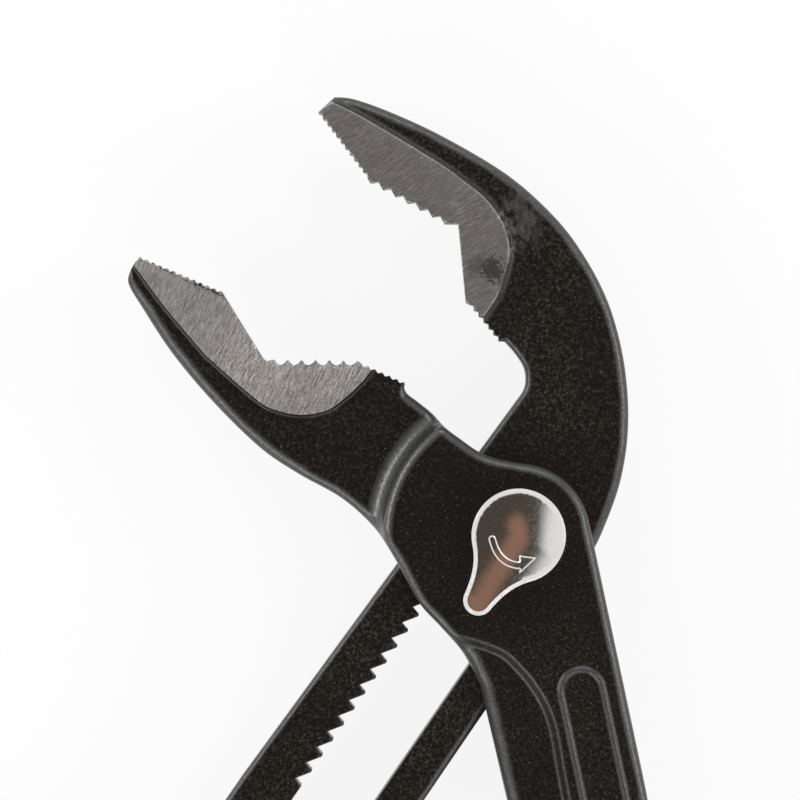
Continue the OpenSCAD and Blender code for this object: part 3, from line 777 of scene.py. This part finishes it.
def make_box_lever(black, ground):
    plate = Plate(box_outline())
    pad_edge = curve(JAW_PAD_EDGE, 12)
    pad_region = np.vstack([pad_edge, [(-10, 90), (-90, 90)]])
    strip_edge = even_steps(curve(STRIP_EDGE, 10), 0.25)
    badge = badge_loop(BADGE_INSET)
    profile = cheek_profile()
    plate.add_line(pad_edge)
    plate.add_bands(pad_edge, PAD_BANDS)
    plate.add_bands(strip_edge, STRIP_BANDS)
    plate.add_bands(badge, RIDGE_BANDS, loop=True)
    for radius in profile[:, 0]:
        plate.add_points(arc((0, 0), radius, *STEP_ARC), 0.04)
    for start, corner, end, _ in web_lines():
        for last in (start, end):
            stop = corner + (last - corner) * WEB_LINE / np.hypot(*(last - corner))
            plate.add_line(straight(corner, stop, WEB_STEP))
    for radius in (BOLT_HEAD_ROOM, BOLT_SEAT_R):
        plate.add_line(arc((0, 0), radius, 0, 360, 72)[:-1], loop=True)
    plate.add_field(*BOX_FIELD)
    flat, cells = plate.triangles()

    distance, radius, marks = wear_marks(plate, flat)
    tooth_gap, along = line_distance(flat, np.array([JAW_TIP, JAW_NOTCH_TOP]))
    soot = np.exp(-tooth_gap / SOOT_REACH) * (SOOT_AT_TIP + (1 - SOOT_AT_TIP) * ease(along * 1.4))
    marks["tooth_dirt"] = np.maximum(marks["tooth_dirt"], soot)
    reach = np.hypot(*flat.T)
    crown = np.interp(reach, profile[:, 0], profile[:, 1])
    ramp = ease((-flat[:, 1] - RAMP_START) / (RAMP_END - RAMP_START))
    handle = np.where(flat[:, 1] <= -BOSS_R, BOX_T + (MID_Z + HANDLE_T / 2 - BOX_T) * ramp, SHANK_TOP)
    face = np.maximum(crown, handle)
    face = face + pad_rise(region_depth(flat, pad_edge, pad_region), FIXED_PAD_WALL, FIXED_PAD_WEAR)
    strip_line = np.vstack([strip_edge, [(strip_edge[-1, 0], -FAR)]])
    strip_region = np.vstack([strip_line, [(-FAR, -FAR), (-FAR, strip_edge[0, 1])]])
    lowered = ease((region_depth(flat, strip_line, strip_region) + STRIP_STEP_W / 2) / STRIP_STEP_W)
    lowered = lowered * ease(np.hypot(*(flat - strip_edge[0]).T) / STRIP_FADE)
    face = face - lowered * np.maximum(face - (BOX_T - STRIP_DROP), 0)
    face = face - round_drop(distance, radius)
    ridge_gap, _ = line_distance(flat, closed(badge))
    ridge = np.clip(1 - (ridge_gap / RIDGE_HALF_W) ** 2, 0, 1) ** 2
    # Band over the cheeks' step, on its crest and on its concave fillet alike: worn skin and painted
    # highlight
    step = STEP_WEAR_AND_SHEEN * ease((reach - CHEEK_R + CREST_ROUND) / STEP_WEAR_AND_SHEEN_UPPER)
    step = step * ease((CHEEK_R + STEP_FILLET - reach) / STEP_WEAR_AND_SHEEN_LOWER)
    step = np.where(flat[:, 1] > -BOSS_R, step, 0)
    # Two lines beside the strip's edge, one on its crest and one at its foot: painted highlight lines, the
    # crest one also wear
    strip_gap, _ = line_distance(flat, strip_line)
    crest_wear_and_sheen = CREST_WEAR_AND_SHEEN * np.exp(-(((strip_gap - CREST_OFFSET) / CREST_SPREAD) ** 2))
    marks["edge_wear_and_sheen"] = np.max([marks["edge_wear_and_sheen"], step, crest_wear_and_sheen], axis=0)
    marks["badge_wear"] = ridge

    middle = flat[cells].mean(1)
    middle_reach = np.hypot(*middle.T)
    kinds = np.full(len(cells), "cheek", dtype=object)
    for start, corner, end, away in web_lines():
        region = np.vstack([start, corner, end, polar(FAR, away)])
        kinds[inside(middle, region)] = "web"
    kinds[middle_reach < BOLT_HEAD_ROOM] = "seat"
    solid = middle_reach > BOLT_SEAT_R * 0.999
    cells, middle, kinds = cells[solid], middle[solid], kinds[solid]
    stacks = {"web": [("back", "front")],
              "cheek": [("back", "floor"), ("ceiling", "front")],
              "seat": [("recess", "floor"), ("ceiling", "pocket")]}
    mouth = np.where(distance < 1e-4, MOUTH_FLARE, 0.0)
    thin = np.zeros(len(flat), bool)
    thin[cells[kinds == "cheek"].ravel()] = True
    front = np.where(thin, np.maximum(face, CAVITY_CEILING + mouth + CHEEK_EDGE_T), face)
    heights = {"back": BOX_T - front,
               "recess": BOLT_HEAD_T,
               "floor": CHEEK_T - mouth,
               "ceiling": CAVITY_CEILING + mouth,
               "pocket": BOX_T - SPRING_POCKET,
               "front": front + BADGE_RISE * ridge}
    on_pad = (region_depth(middle, pad_edge, pad_region) > 0).astype(int)
    return layered_piece("box_lever_forging", flat, cells, kinds, stacks, heights,
                         [black, ground], on_pad, marks)


def slide_outline():
    loop = np.vstack([
        tooth_row(SLIDE_TIP, SLIDE_FINE_END, 11, -FINE_DEPTH, VEE),
        tooth_row(*SLIDE_COARSE, 6, -COARSE_DEPTH, SAW),
        rounded(SLIDE_NOTCH, CUT_ROUND),
        tooth_row(*SLIDE_HEEL, 6, -FINE_DEPTH, VEE),
        rounded(curve(SLIDE_THROAT), SHANK_ROUND),
        rounded(handle_edge(slide_mid, slide_width, SLIDE_SHOULDER, BARE_END, -1), SHANK_ROUND),
        rounded(arc((slide_mid(BARE_END), -BARE_END), HANDLE_W / 2, 180, 360, 12)[1:-1], SHANK_ROUND),
        rounded(handle_edge(slide_mid, slide_width, BARE_END, SLIDE_SHOULDER, 1), SHANK_ROUND),
        rounded(curve(SLIDE_BACK), FORGED_ROUND)])
    loop[-10:, 2] = np.linspace(FORGED_ROUND, 0.7, 10)
    loop[:, :2] = turned(loop[:, :2], REST_TURN)
    loop[:, 0] = np.minimum(loop[:, 0], cad_box[1][0] / MM)
    return loop


def slot_outline():
    """Toothed slot: a short steep flank towards the jaw and a long slanted flank behind each tooth."""
    width = RACK_SIDE + PLAIN_SIDE
    middle = (PLAIN_SIDE - RACK_SIDE) / 2
    slant = RACK_PITCH - RACK_TIP_FLAT - RACK_ROOT_FLAT - RACK_LEAD
    tip, root = -RACK_SIDE, -RACK_SIDE - RACK_DEPTH
    first_land = RACK_FIRST + RACK_PITCH - RACK_TIP_FLAT
    bottom = RACK_FIRST - (RACK_TEETH - 1) * RACK_PITCH - 3
    points = list(arc((middle, SLOT_TOP), width / 2, 0, 180, 24))
    points += [(tip, first_land), (root, first_land - slant)]
    for number in range(RACK_TEETH):
        at = RACK_FIRST - number * RACK_PITCH
        points += [(root, at + RACK_LEAD), (tip, at)]
        if number < RACK_TEETH - 1:
            points += [(tip, at - RACK_TIP_FLAT), (root, at - RACK_TIP_FLAT - slant)]
    points += list(arc((middle, bottom), width / 2, 180, 360, 24))
    return rounded(turned(points, REST_TURN), SLOT_ROUND)


# Torn patch beside the sliding jaw's pad
SCUFF_CENTRE = (8.9, 40.6)
SCUFF_HALF = np.array([3.0, 5.2])
SCUFF_STEP = 0.24
LUMP_SCALE, LUMP_LAYER = (1.3, 0.9), 4.0
LUMP_BASE, LUMP_H, LUMP_WALL_H = 0.05, 0.14, 0.26
SLIDE_FIELD = (-45, -78), (35, 85), 2.4


def make_slide_lever(black, ground):
    plate = Plate(slide_outline(), [slot_outline()])
    pad_edge = turned(curve(SLIDE_PAD_EDGE[::-1], 12), REST_TURN)
    plate.add_line(pad_edge[6:-3])
    plate.add_bands(pad_edge, PAD_BANDS)
    plate.add_field(*SLIDE_FIELD)
    plate.add_field(SCUFF_CENTRE - SCUFF_HALF, SCUFF_CENTRE + SCUFF_HALF, SCUFF_STEP)
    flat, cells = plate.triangles()

    distance, radius, marks = wear_marks(plate, flat)
    region = np.vstack([pad_edge, turned([(-90, 30), (-90, 0)], REST_TURN)])
    pad = region_depth(flat, pad_edge, region)
    face = SHANK_TOP + pad_rise(pad, SLIDE_PAD_WALL, SLIDE_PAD_WEAR) - round_drop(distance, radius)
    scuffed = np.clip(1 - (((flat - SCUFF_CENTRE) / SCUFF_HALF) ** 2).sum(1), 0, 1)
    lumps = np.array([noise.noise(Vector((x, y, LUMP_LAYER))) for x, y in flat * LUMP_SCALE])
    marks["scuffed"] = scuffed * ease(-pad / 0.9) * (0.25 + 0.75 * ease((lumps + 0.3) / 0.45))
    torn = np.where(pad < 0.1, ease(scuffed * 3), 0)
    front = face + torn * (LUMP_BASE + (LUMP_H + LUMP_WALL_H * ease(1.6 + pad)) * lumps)
    kinds = np.full(len(cells), "plate", dtype=object)
    middle = flat[cells].mean(1)
    on_pad = (region_depth(middle, pad_edge, region) > 0).astype(int)
    heights = {"back": BOX_T - face, "front": front}
    return layered_piece("slide_lever_forging", flat, cells, kinds, {"plate": [("back", "front")]}, heights,
                         [black, ground], on_pad, marks)


# Release lever: round part, thumb tab and the sunk direction arrow
CAP_R, CAP_Z = 6.2, BOX_T + 0.1
TAB_REACH, TAB_R, TAB_ANGLE = 10.0, 2.0, 226.0
TAB_ROOT, TAB_TIP, FLANK_PULL = 47.0, 82.0, 2.4
RIM_W, RIM_H = 0.54, 0.275
ROOM_R, ROOM_TOP = 4.4, 17.85
FACE_H, DOME_H, TAB_FALL, DOME_BLEND = 2.375, 0.72, 0.55, 0.01
CAP_FIELD = (-12, -12), (8, 8), 0.32
ARROW_PATH = [(-3.5, 0.3), (-3.35, -1.0), (-2.9, -2.2), (-2.15, -3.1), (-1.2, -3.66), (-0.7, -3.78)]
ARROW_HEAD = [(-1.1, -5.0), (1.7, -3.3), (-0.5, -2.5)]
ARROW_HALF_W, ARROW_DEPTH, ARROW_BEVEL = 0.5, 0.095, 0.19


def bezier(a, b, c, d, steps):
    t = np.linspace(0, 1, steps + 1)[:, None]
    return (1 - t) ** 3 * a + 3 * t * (1 - t) ** 2 * b + 3 * t**2 * (1 - t) * c + t**3 * d


def teardrop_outline():
    tab = np.array([TAB_REACH, 0])
    root, tip = polar(CAP_R, TAB_ROOT), tab + polar(TAB_R, TAB_TIP)
    flank = bezier(tip, tip + FLANK_PULL * polar(1, TAB_TIP + 90),
                   root + FLANK_PULL * polar(1, TAB_ROOT - 90), root, 16)
    loop = np.vstack([tab + polar(TAB_R, np.linspace(-TAB_TIP, TAB_TIP, 21))[1:-1], flank,
                      polar(CAP_R, np.linspace(TAB_ROOT, 360 - TAB_ROOT, 80))[1:-1],
                      flank[::-1] * (1, -1)])
    return rounded(turned(loop, TAB_ANGLE), CUT_ROUND)


def arrow_outline():
    path = curve(ARROW_PATH, 5)
    side = left_normals(path) * ARROW_HALF_W
    cap = arc(path[0], ARROW_HALF_W, 15, 165, 6)
    return np.vstack([cap, (path - side)[1:], ARROW_HEAD, (path + side)[:0:-1]])


def make_release_lever(chrome):
    plate = Plate(teardrop_outline())
    rim = plate.outline[:, :2] + left_normals(plate.outline, loop=True) * RIM_W
    plate.add_line(rim, loop=True)
    arrow = counter_clockwise(arrow_outline())
    arrow = even_steps(closed(arrow), 0.15)[:-1]
    plate.add_line(arrow, loop=True)
    plate.add_bands(arrow, (ARROW_BEVEL, ARROW_BEVEL * 1.6, -0.08), loop=True)
    plate.add_line(arc((0, 0), ROOM_R, 0, 360, 72)[:-1], loop=True)
    plate.add_field(*CAP_FIELD, clearance=RIM_W + 0.15)
    flat, cells = plate.triangles()

    distance, _ = plate.edge(flat)
    reach, along = line_distance(flat, np.array([(0, 0), polar(TAB_REACH, TAB_ANGLE)]))
    bevel = np.clip(1 - distance / RIM_W, 0, 1)
    dome = DOME_H * (1 - TAB_FALL * along - ((reach - RIM_W * bevel) / (CAP_R + 0.1)) ** 2)
    face = CAP_Z + FACE_H + 0.5 * (dome + np.sqrt(dome**2 + DOME_BLEND))
    face = face - RIM_H * bevel
    sunk = np.clip(region_depth(flat, closed(arrow), arrow) / ARROW_BEVEL, 0, 1)
    face = face - ARROW_DEPTH * sunk
    middle = flat[cells].mean(1)
    kinds = np.where(np.hypot(*middle.T) < ROOM_R, "room", "rim").astype(object)
    stacks = {"rim": [("back", "front")], "room": [("recess", "front")]}
    heights = {"back": CAP_Z, "recess": ROOM_TOP, "front": face}
    return layered_piece("release_lever_cap", flat, cells, kinds, stacks, heights, [chrome], crease=20)


class Shaping(Nodes):
    """A geometry tree with named inputs, which ends in a real mesh with its finish."""

    def __init__(self, name, sizes, counts=()):
        super().__init__(bpy.data.node_groups.new(name, "GeometryNodeTree"))
        inputs = [("Geometry", "NodeSocketGeometry")]
        inputs += [(label, "NodeSocketFloat") for label in sizes]
        inputs += [(label, "NodeSocketInt") for label in counts]
        for label, kind in inputs + [("Finish", "NodeSocketMaterial")]:
            self.tree.interface.new_socket(label, in_out="INPUT", socket_type=kind)
        self.tree.interface.new_socket("Geometry", in_out="OUTPUT", socket_type="NodeSocketGeometry")
        self.given = self.put("NodeGroupInput").outputs

    def grow(self, kind, settings=None, **inputs):
        return self.put("GeometryNode" + kind, settings, **inputs).outputs[0]

    def done(self, mesh):
        smooth = self.grow("SetShadeSmooth", Geometry=mesh)
        real = self.grow("RealizeInstances", Geometry=smooth)
        dressed = self.grow("SetMaterial", Geometry=real, Material=self.given["Finish"])
        self.put("NodeGroupOutput", Geometry=dressed)
        return self.tree


def grip_tree():
    """Sweeps a round-edged section along a line of points that carry a swell attribute."""
    shape = Shaping("dipped_grip_sweep", ("Half Width", "Half Thickness", "Corner"), ("Sides",))
    given = shape.given
    swell = shape.grow("InputNamedAttribute", {"data_type": "FLOAT"}, Name="swell")
    path = shape.grow("MeshToCurve", Mesh=given["Geometry"])
    path = shape.grow("SetCurveNormal", {"mode": "Z_UP"}, Curve=path)
    circle = shape.grow("CurvePrimitiveCircle", Resolution=given["Sides"], Radius=1.0)
    spot = shape.put("ShaderNodeSeparateXYZ", Vector=shape.grow("InputPosition")).outputs

    def squared(value, size):
        power = shape.sum_of("POWER", shape.sum_of("ABSOLUTE", value), given["Corner"])
        return shape.times(shape.times(power, shape.sum_of("SIGN", value)), size)

    corner = shape.put("ShaderNodeCombineXYZ", X=squared(spot["X"], given["Half Width"]),
                       Y=squared(spot["Y"], given["Half Thickness"])).outputs[0]
    section = shape.grow("SetPosition", Geometry=circle, Position=corner)
    sweep = shape.grow("CurveToMesh", Curve=path, Profile_Curve=section, Scale=swell, Fill_Caps=True)
    return shape.done(sweep)


def spring_tree():
    """Winds round wire into a flat torsion spring."""
    shape = Shaping("pawl_spring_winding", ("Turns", "Coil Radius", "Rise", "Wire Radius", "Base"))
    given = shape.given
    coil = shape.grow("CurveSpiral", Resolution=40, Rotations=given["Turns"], Height=given["Rise"],
                      Start_Radius=given["Coil Radius"], End_Radius=given["Coil Radius"])
    lift = shape.put("ShaderNodeCombineXYZ", Z=given["Base"]).outputs[0]
    coil = shape.grow("Transform", Geometry=coil, Translation=lift)
    wire = shape.grow("CurvePrimitiveCircle", Resolution=12, Radius=given["Wire Radius"])
    return shape.done(shape.grow("CurveToMesh", Curve=coil, Profile_Curve=wire, Fill_Caps=True))


def grown_piece(name, start_mesh, tree, values, finish):
    """Runs a node tree on a start mesh and keeps the result as a plain mesh."""
    seed = add_object(name + "_line", start_mesh)
    modifier = seed.modifiers.new("shape", "NODES")
    modifier.node_group = tree
    sockets = {s.name: s.identifier for s in tree.interface.items_tree if s.in_out == "INPUT"}
    for label, value in values.items():
        modifier[sockets[label]] = value
    modifier[sockets["Finish"]] = finish
    graph = bpy.context.evaluated_depsgraph_get()
    grown = seed.evaluated_get(graph)
    mesh = bpy.data.meshes.new_from_object(grown, preserve_all_data_layers=True, depsgraph=graph)
    mesh.name = name
    bpy.data.objects.remove(seed)
    return smooth_object(name, mesh, 50)


# Grip along its length: shares and swell of the lip, start and length of the round end, and least swell
GRIP_LIP = [(0.0, 0.8), (0.002, 0.86), (0.005, 0.92), (0.009, 0.965), (0.015, 0.992), (0.022, 1.0)]
GRIP_END, GRIP_END_L, GRIP_LEAST = 0.93, 0.07, 0.06
GRIP_CORNER, GRIP_SIDES = 0.62, 48


def make_grip(name, middle, turn, tree, finish):
    """Dipped grip: a soft lip at its mouth, a slight waist and a round shut end."""
    lip_share, lip_swell = np.transpose(GRIP_LIP)
    end_share = GRIP_END + GRIP_END_L * np.sin(np.pi / 2 * np.arange(1, 13) / 12)
    share = np.hstack([lip_share, np.linspace(0.04, GRIP_END, 46), end_share])
    waist = 0.02 + 0.04 * (ease((share - 0.02) / 0.12) - ease((share - 0.72) / 0.2))
    shut = np.sqrt(np.maximum(0, 1 - (np.maximum(0, share - GRIP_END) / GRIP_END_L) ** 2))
    swell = np.maximum(GRIP_LEAST, np.interp(share, lip_share, lip_swell) * (1 - waist) * shut)
    d = GRIP_START + (REACH - GRIP_START) * share
    flat = turned(np.column_stack([middle(d), -d]), turn)
    line = bpy.data.meshes.new(name + "_line")
    links = [(k, k + 1) for k in range(len(flat) - 1)]
    line.from_pydata([(x * MM, y * MM, MID_Z * MM) for x, y in flat], links, [])
    line.attributes.new("swell", "FLOAT", "POINT").data.foreach_set("value", swell)
    values = {"Half Width": (HANDLE_W / 2 + GRIP_WALL) * MM,
              "Half Thickness": (HANDLE_T / 2 + GRIP_WALL) * MM,
              "Corner": GRIP_CORNER, "Sides": GRIP_SIDES}
    return grown_piece(name, line, tree, values, finish)


SPRING_TURNS, SPRING_R, SPRING_RISE, SPRING_WIRE_R = 2.0, 5.05, 1.24, 0.3


def make_spring(tree, finish):
    values = {"Turns": SPRING_TURNS, "Coil Radius": SPRING_R * MM, "Rise": SPRING_RISE * MM,
              "Wire Radius": SPRING_WIRE_R * MM, "Base": (BOX_T - SPRING_POCKET + SPRING_WIRE_R) * MM}
    return grown_piece("pawl_spring_coil", bpy.data.meshes.new("spring_start"), tree, values, finish)


def turned_piece(name, profile, finish, sides=96):
    """Lathe piece round the pivot axis; its profile of radius and height starts and ends on the axis."""
    mesh = bpy.data.meshes.new(name)
    places, faces, rings = [], [], []
    for radius, height in profile:
        if radius == 0:
            rings.append([len(places)])
            places.append((0, 0, height * MM))
        else:
            rings.append(range(len(places), len(places) + sides))
            ring = polar(radius, np.arange(sides) * 360 / sides)
            places += [(x * MM, y * MM, height * MM) for x, y in ring]
    for low, high in zip(rings, rings[1:]):
        for k in range(sides):
            a, b = low[k % len(low)], low[(k + 1) % len(low)]
            c, d = high[(k + 1) % len(high)], high[k % len(high)]
            if len(low) == 1:
                faces.append([a, c, d])
            elif len(high) == 1:
                faces.append([a, b, c])
            else:
                faces.append([a, b, c, d])
    mesh.from_pydata(places, [], faces)
    mesh.materials.append(finish)
    return smooth_object(name, mesh)


HINGE_BOLT = [
    (0, 0.25), (0.9, 0.25), (1.3, 0.0), (5.4, 0.0), (5.66, 0.12), (5.8, 0.4), (5.8, 1.5), (4.4, 1.5),
    (4.4, 3.7), (3.3, 3.7), (3.3, 7.85), (2.9, 7.85), (2.9, 16.85), (2.4, 16.85), (2.4, 17.45),
    (2.9, 17.45), (2.9, 17.55), (2.75, 17.7), (0, 17.7)]

black_box = forged_finish("black_phosphate_box_lever", grit_mm=0.012, dust_tone=0.042)
black_slide = forged_finish("black_phosphate_slide_lever", grit_mm=0.018, dust_tone=0.06)
ground_box = ground_finish("ground_steel_fixed_jaw", streak_degrees=54, tone=0.68, contrast=0.45,
                           smudges=[(-35.5, 40.5, 13.0, 0.6)])
ground_slide = ground_finish("ground_steel_sliding_jaw", streak_degrees=20, tone=0.33, contrast=0.14,
                             smudges=[(2.3, 36.0, 3.0, 0.75), (4.0, 35.0, 3.6, 0.95), (5.3, 33.3, 3.0, 0.75),
                                      (0.2, 47.0, 3.6, 0.4)])
chrome = polished_finish("polished_chrome_release_lever")
grip_black = dipped_finish("dipped_black_grip")
bolt_steel = turned_finish("turned_steel_hinge_bolt", (0.5, 0.49, 0.475), (0.36, 0.35, 0.34), 0.28)
pawl_steel = turned_finish("hardened_steel_pawl", (0.3, 0.29, 0.28), (0.16, 0.155, 0.15), 0.36)
spring_steel = turned_finish("spring_wire_steel", (0.45, 0.44, 0.43), (0.3, 0.29, 0.28), 0.25)

sweep = grip_tree()
pieces = [
    (make_box_lever(black_box, ground_box), "box", "box_lever", "forged_black"),
    (make_slide_lever(black_slide, ground_slide), "slider", "slide_lever", "forged_black"),
    (make_release_lever(chrome), "release", "release_lever", "chrome"),
    (make_grip("box_grip_dip", box_mid, 0, sweep, grip_black), "box", "box_grip", "grip_black"),
    (make_grip("slide_grip_dip", slide_mid, REST_TURN, sweep, grip_black),
     "slider", "slide_grip", "grip_black"),
    (turned_piece("hinge_bolt_turned", HINGE_BOLT, bolt_steel), "box", "hinge_bolt", "bolt_steel"),
    (make_spring(spring_tree(), spring_steel), "release", "pawl_spring", "spring_steel"),
]
for piece, body, node, slot in pieces:
    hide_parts(node)
    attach(piece, body)
for node in ("locking_pawl", "guide_block", "retaining_ring"):
    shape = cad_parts[node].data
    shape.materials.clear()
    shape.materials.append(pawl_steel)


# Camera straight over the joint, turned a little as in the picture
VIEW_CENTRE = (-11.55, 20.7)
VIEW_WIDTH = 105.8
VIEW_TURN = -12.0
VIEW_HEIGHT = 1000.0
SENSOR_W = 36
lens_camera = bpy.data.cameras.new("overhead_camera")
lens_camera.sensor_width = SENSOR_W
lens_camera.lens = SENSOR_W * VIEW_HEIGHT / VIEW_WIDTH
lens_camera.clip_end = 20
overhead = add_object("overhead_camera", lens_camera)
overhead.location = (VIEW_CENTRE[0] * MM, VIEW_CENTRE[1] * MM, (VIEW_HEIGHT + SHANK_TOP) * MM)
overhead.rotation_euler = (0, 0, math.radians(VIEW_TURN))
bpy.context.scene.camera = overhead


# Floor in metres, its paper and the share of it that shows as plain white
FLOOR_HALF, FLOOR_Z = 6.0, -0.05 * MM
PAPER_WHITE = 0.92, 0.92, 0.92, 1
PAPER_ROUGHNESS, WHITE_SHARE = 0.9, 0.88


def pale_floor():
    mesh = bpy.data.meshes.new("pale_floor")
    corners = [(FLOOR_HALF * x, FLOOR_HALF * y, FLOOR_Z) for x, y in ((-1, -1), (1, -1), (1, 1), (-1, 1))]
    mesh.from_pydata(corners, [], [(0, 1, 2, 3)])
    paper = Finish("pale_floor_paper")
    paper.dress(paper.shader, Base_Color=PAPER_WHITE, Roughness=PAPER_ROUGHNESS)
    white = paper.put("ShaderNodeEmission", Color=(1, 1, 1, 1), Strength=1.0)
    ray = paper.put("ShaderNodeLightPath").outputs
    seen = paper.most(paper.most(ray["Is Camera Ray"], ray["Is Glossy Ray"]), ray["Is Transmission Ray"])
    mixed = paper.put("ShaderNodeMixShader")
    paper.feed(mixed.inputs, (paper.times(seen, WHITE_SHARE), paper.shader.outputs[0], white.outputs[0]))
    paper.dress(paper.tree.nodes["Material Output"], Surface=mixed.outputs[0])
    mesh.materials.append(paper.material)
    floor = add_object("pale_floor", mesh)


# Tent and hood: colours, the hood's soft edges as cosines, and the turn of its straight edge in degrees
TENT_WHITE = 0.8, 0.8, 0.8
HOOD_DARK = 0.06, 0.05, 0.04
HOOD_GLOW = 0.28, 0.15, 0.105
HOOD_EDGE, HOOD_CUT, HOOD_CUT_TURN = (0.81, 0.88), (0.17, 0.31), -17
GLOW_ACROSS, GLOW_UP, GLOW_EDGE = 0.105, 0.19, (0.3, 1.6)


def polar_way(from_zenith, azimuth):
    tilt, turn = math.radians(from_zenith), math.radians(azimuth)
    return math.sin(tilt) * math.cos(turn), math.sin(tilt) * math.sin(turn), math.cos(tilt)


def studio_tent():
    """White tent with a dim hood overhead, cut off straight on the right, and a warm glow in the hood."""
    world = bpy.data.worlds.new("studio_tent")
    bpy.context.scene.world = world
    world.use_nodes = True
    tent = Nodes(world.node_tree)
    way = tent.put("ShaderNodeTexCoord").outputs["Generated"]

    def along(direction):
        return tent.vector_sum("DOT_PRODUCT", way, direction)

    hood = tent.times(tent.spread(along((0, 0, 1)), *HOOD_EDGE),
                      tent.spread(along(polar_way(90, HOOD_CUT_TURN)), *HOOD_CUT, 1.0, 0.0))
    across = tent.times(along(polar_way(90, VIEW_TURN)), 1 / GLOW_ACROSS)
    upward = tent.times(along(polar_way(90, VIEW_TURN + 90)), 1 / GLOW_UP)
    spot = tent.add(tent.times(across, across), tent.times(upward, upward))
    inner = tent.blend(tent.spread(spot, *GLOW_EDGE, 1.0, 0.0), HOOD_DARK, HOOD_GLOW)
    tent.dress(tent.tree.nodes["Background"], Color=tent.blend(hood, TENT_WHITE, inner))


# Softboxes: distance and size in metres, degrees from the zenith, then name, degrees round and watts
SOFTBOX_REACH, SOFTBOX_SIZE, SOFTBOX_TILT = 1.2, (0.9, 0.35), 67
SOFTBOXES = [("right_softbox", 0, 3.7), ("top_softbox", 72, 2.6), ("left_softbox", 150, 4.2),
             ("jaw_softbox", 215, 3.4), ("handle_softbox", 290, 2.4)]


def softbox(name, azimuth, watts):
    lamp = bpy.data.lights.new(name, "AREA")
    lamp.shape = "RECTANGLE"
    lamp.size, lamp.size_y = SOFTBOX_SIZE
    lamp.energy = watts
    box = add_object(name, lamp)
    box.location = [SOFTBOX_REACH * c for c in polar_way(SOFTBOX_TILT, azimuth)]
    box.rotation_euler = (-box.location).to_track_quat("-Z", "Y").to_euler()


pale_floor()
studio_tent()
for row in SOFTBOXES:
    softbox(*row)
bpy.context.scene.view_settings.view_transform = "Standard"
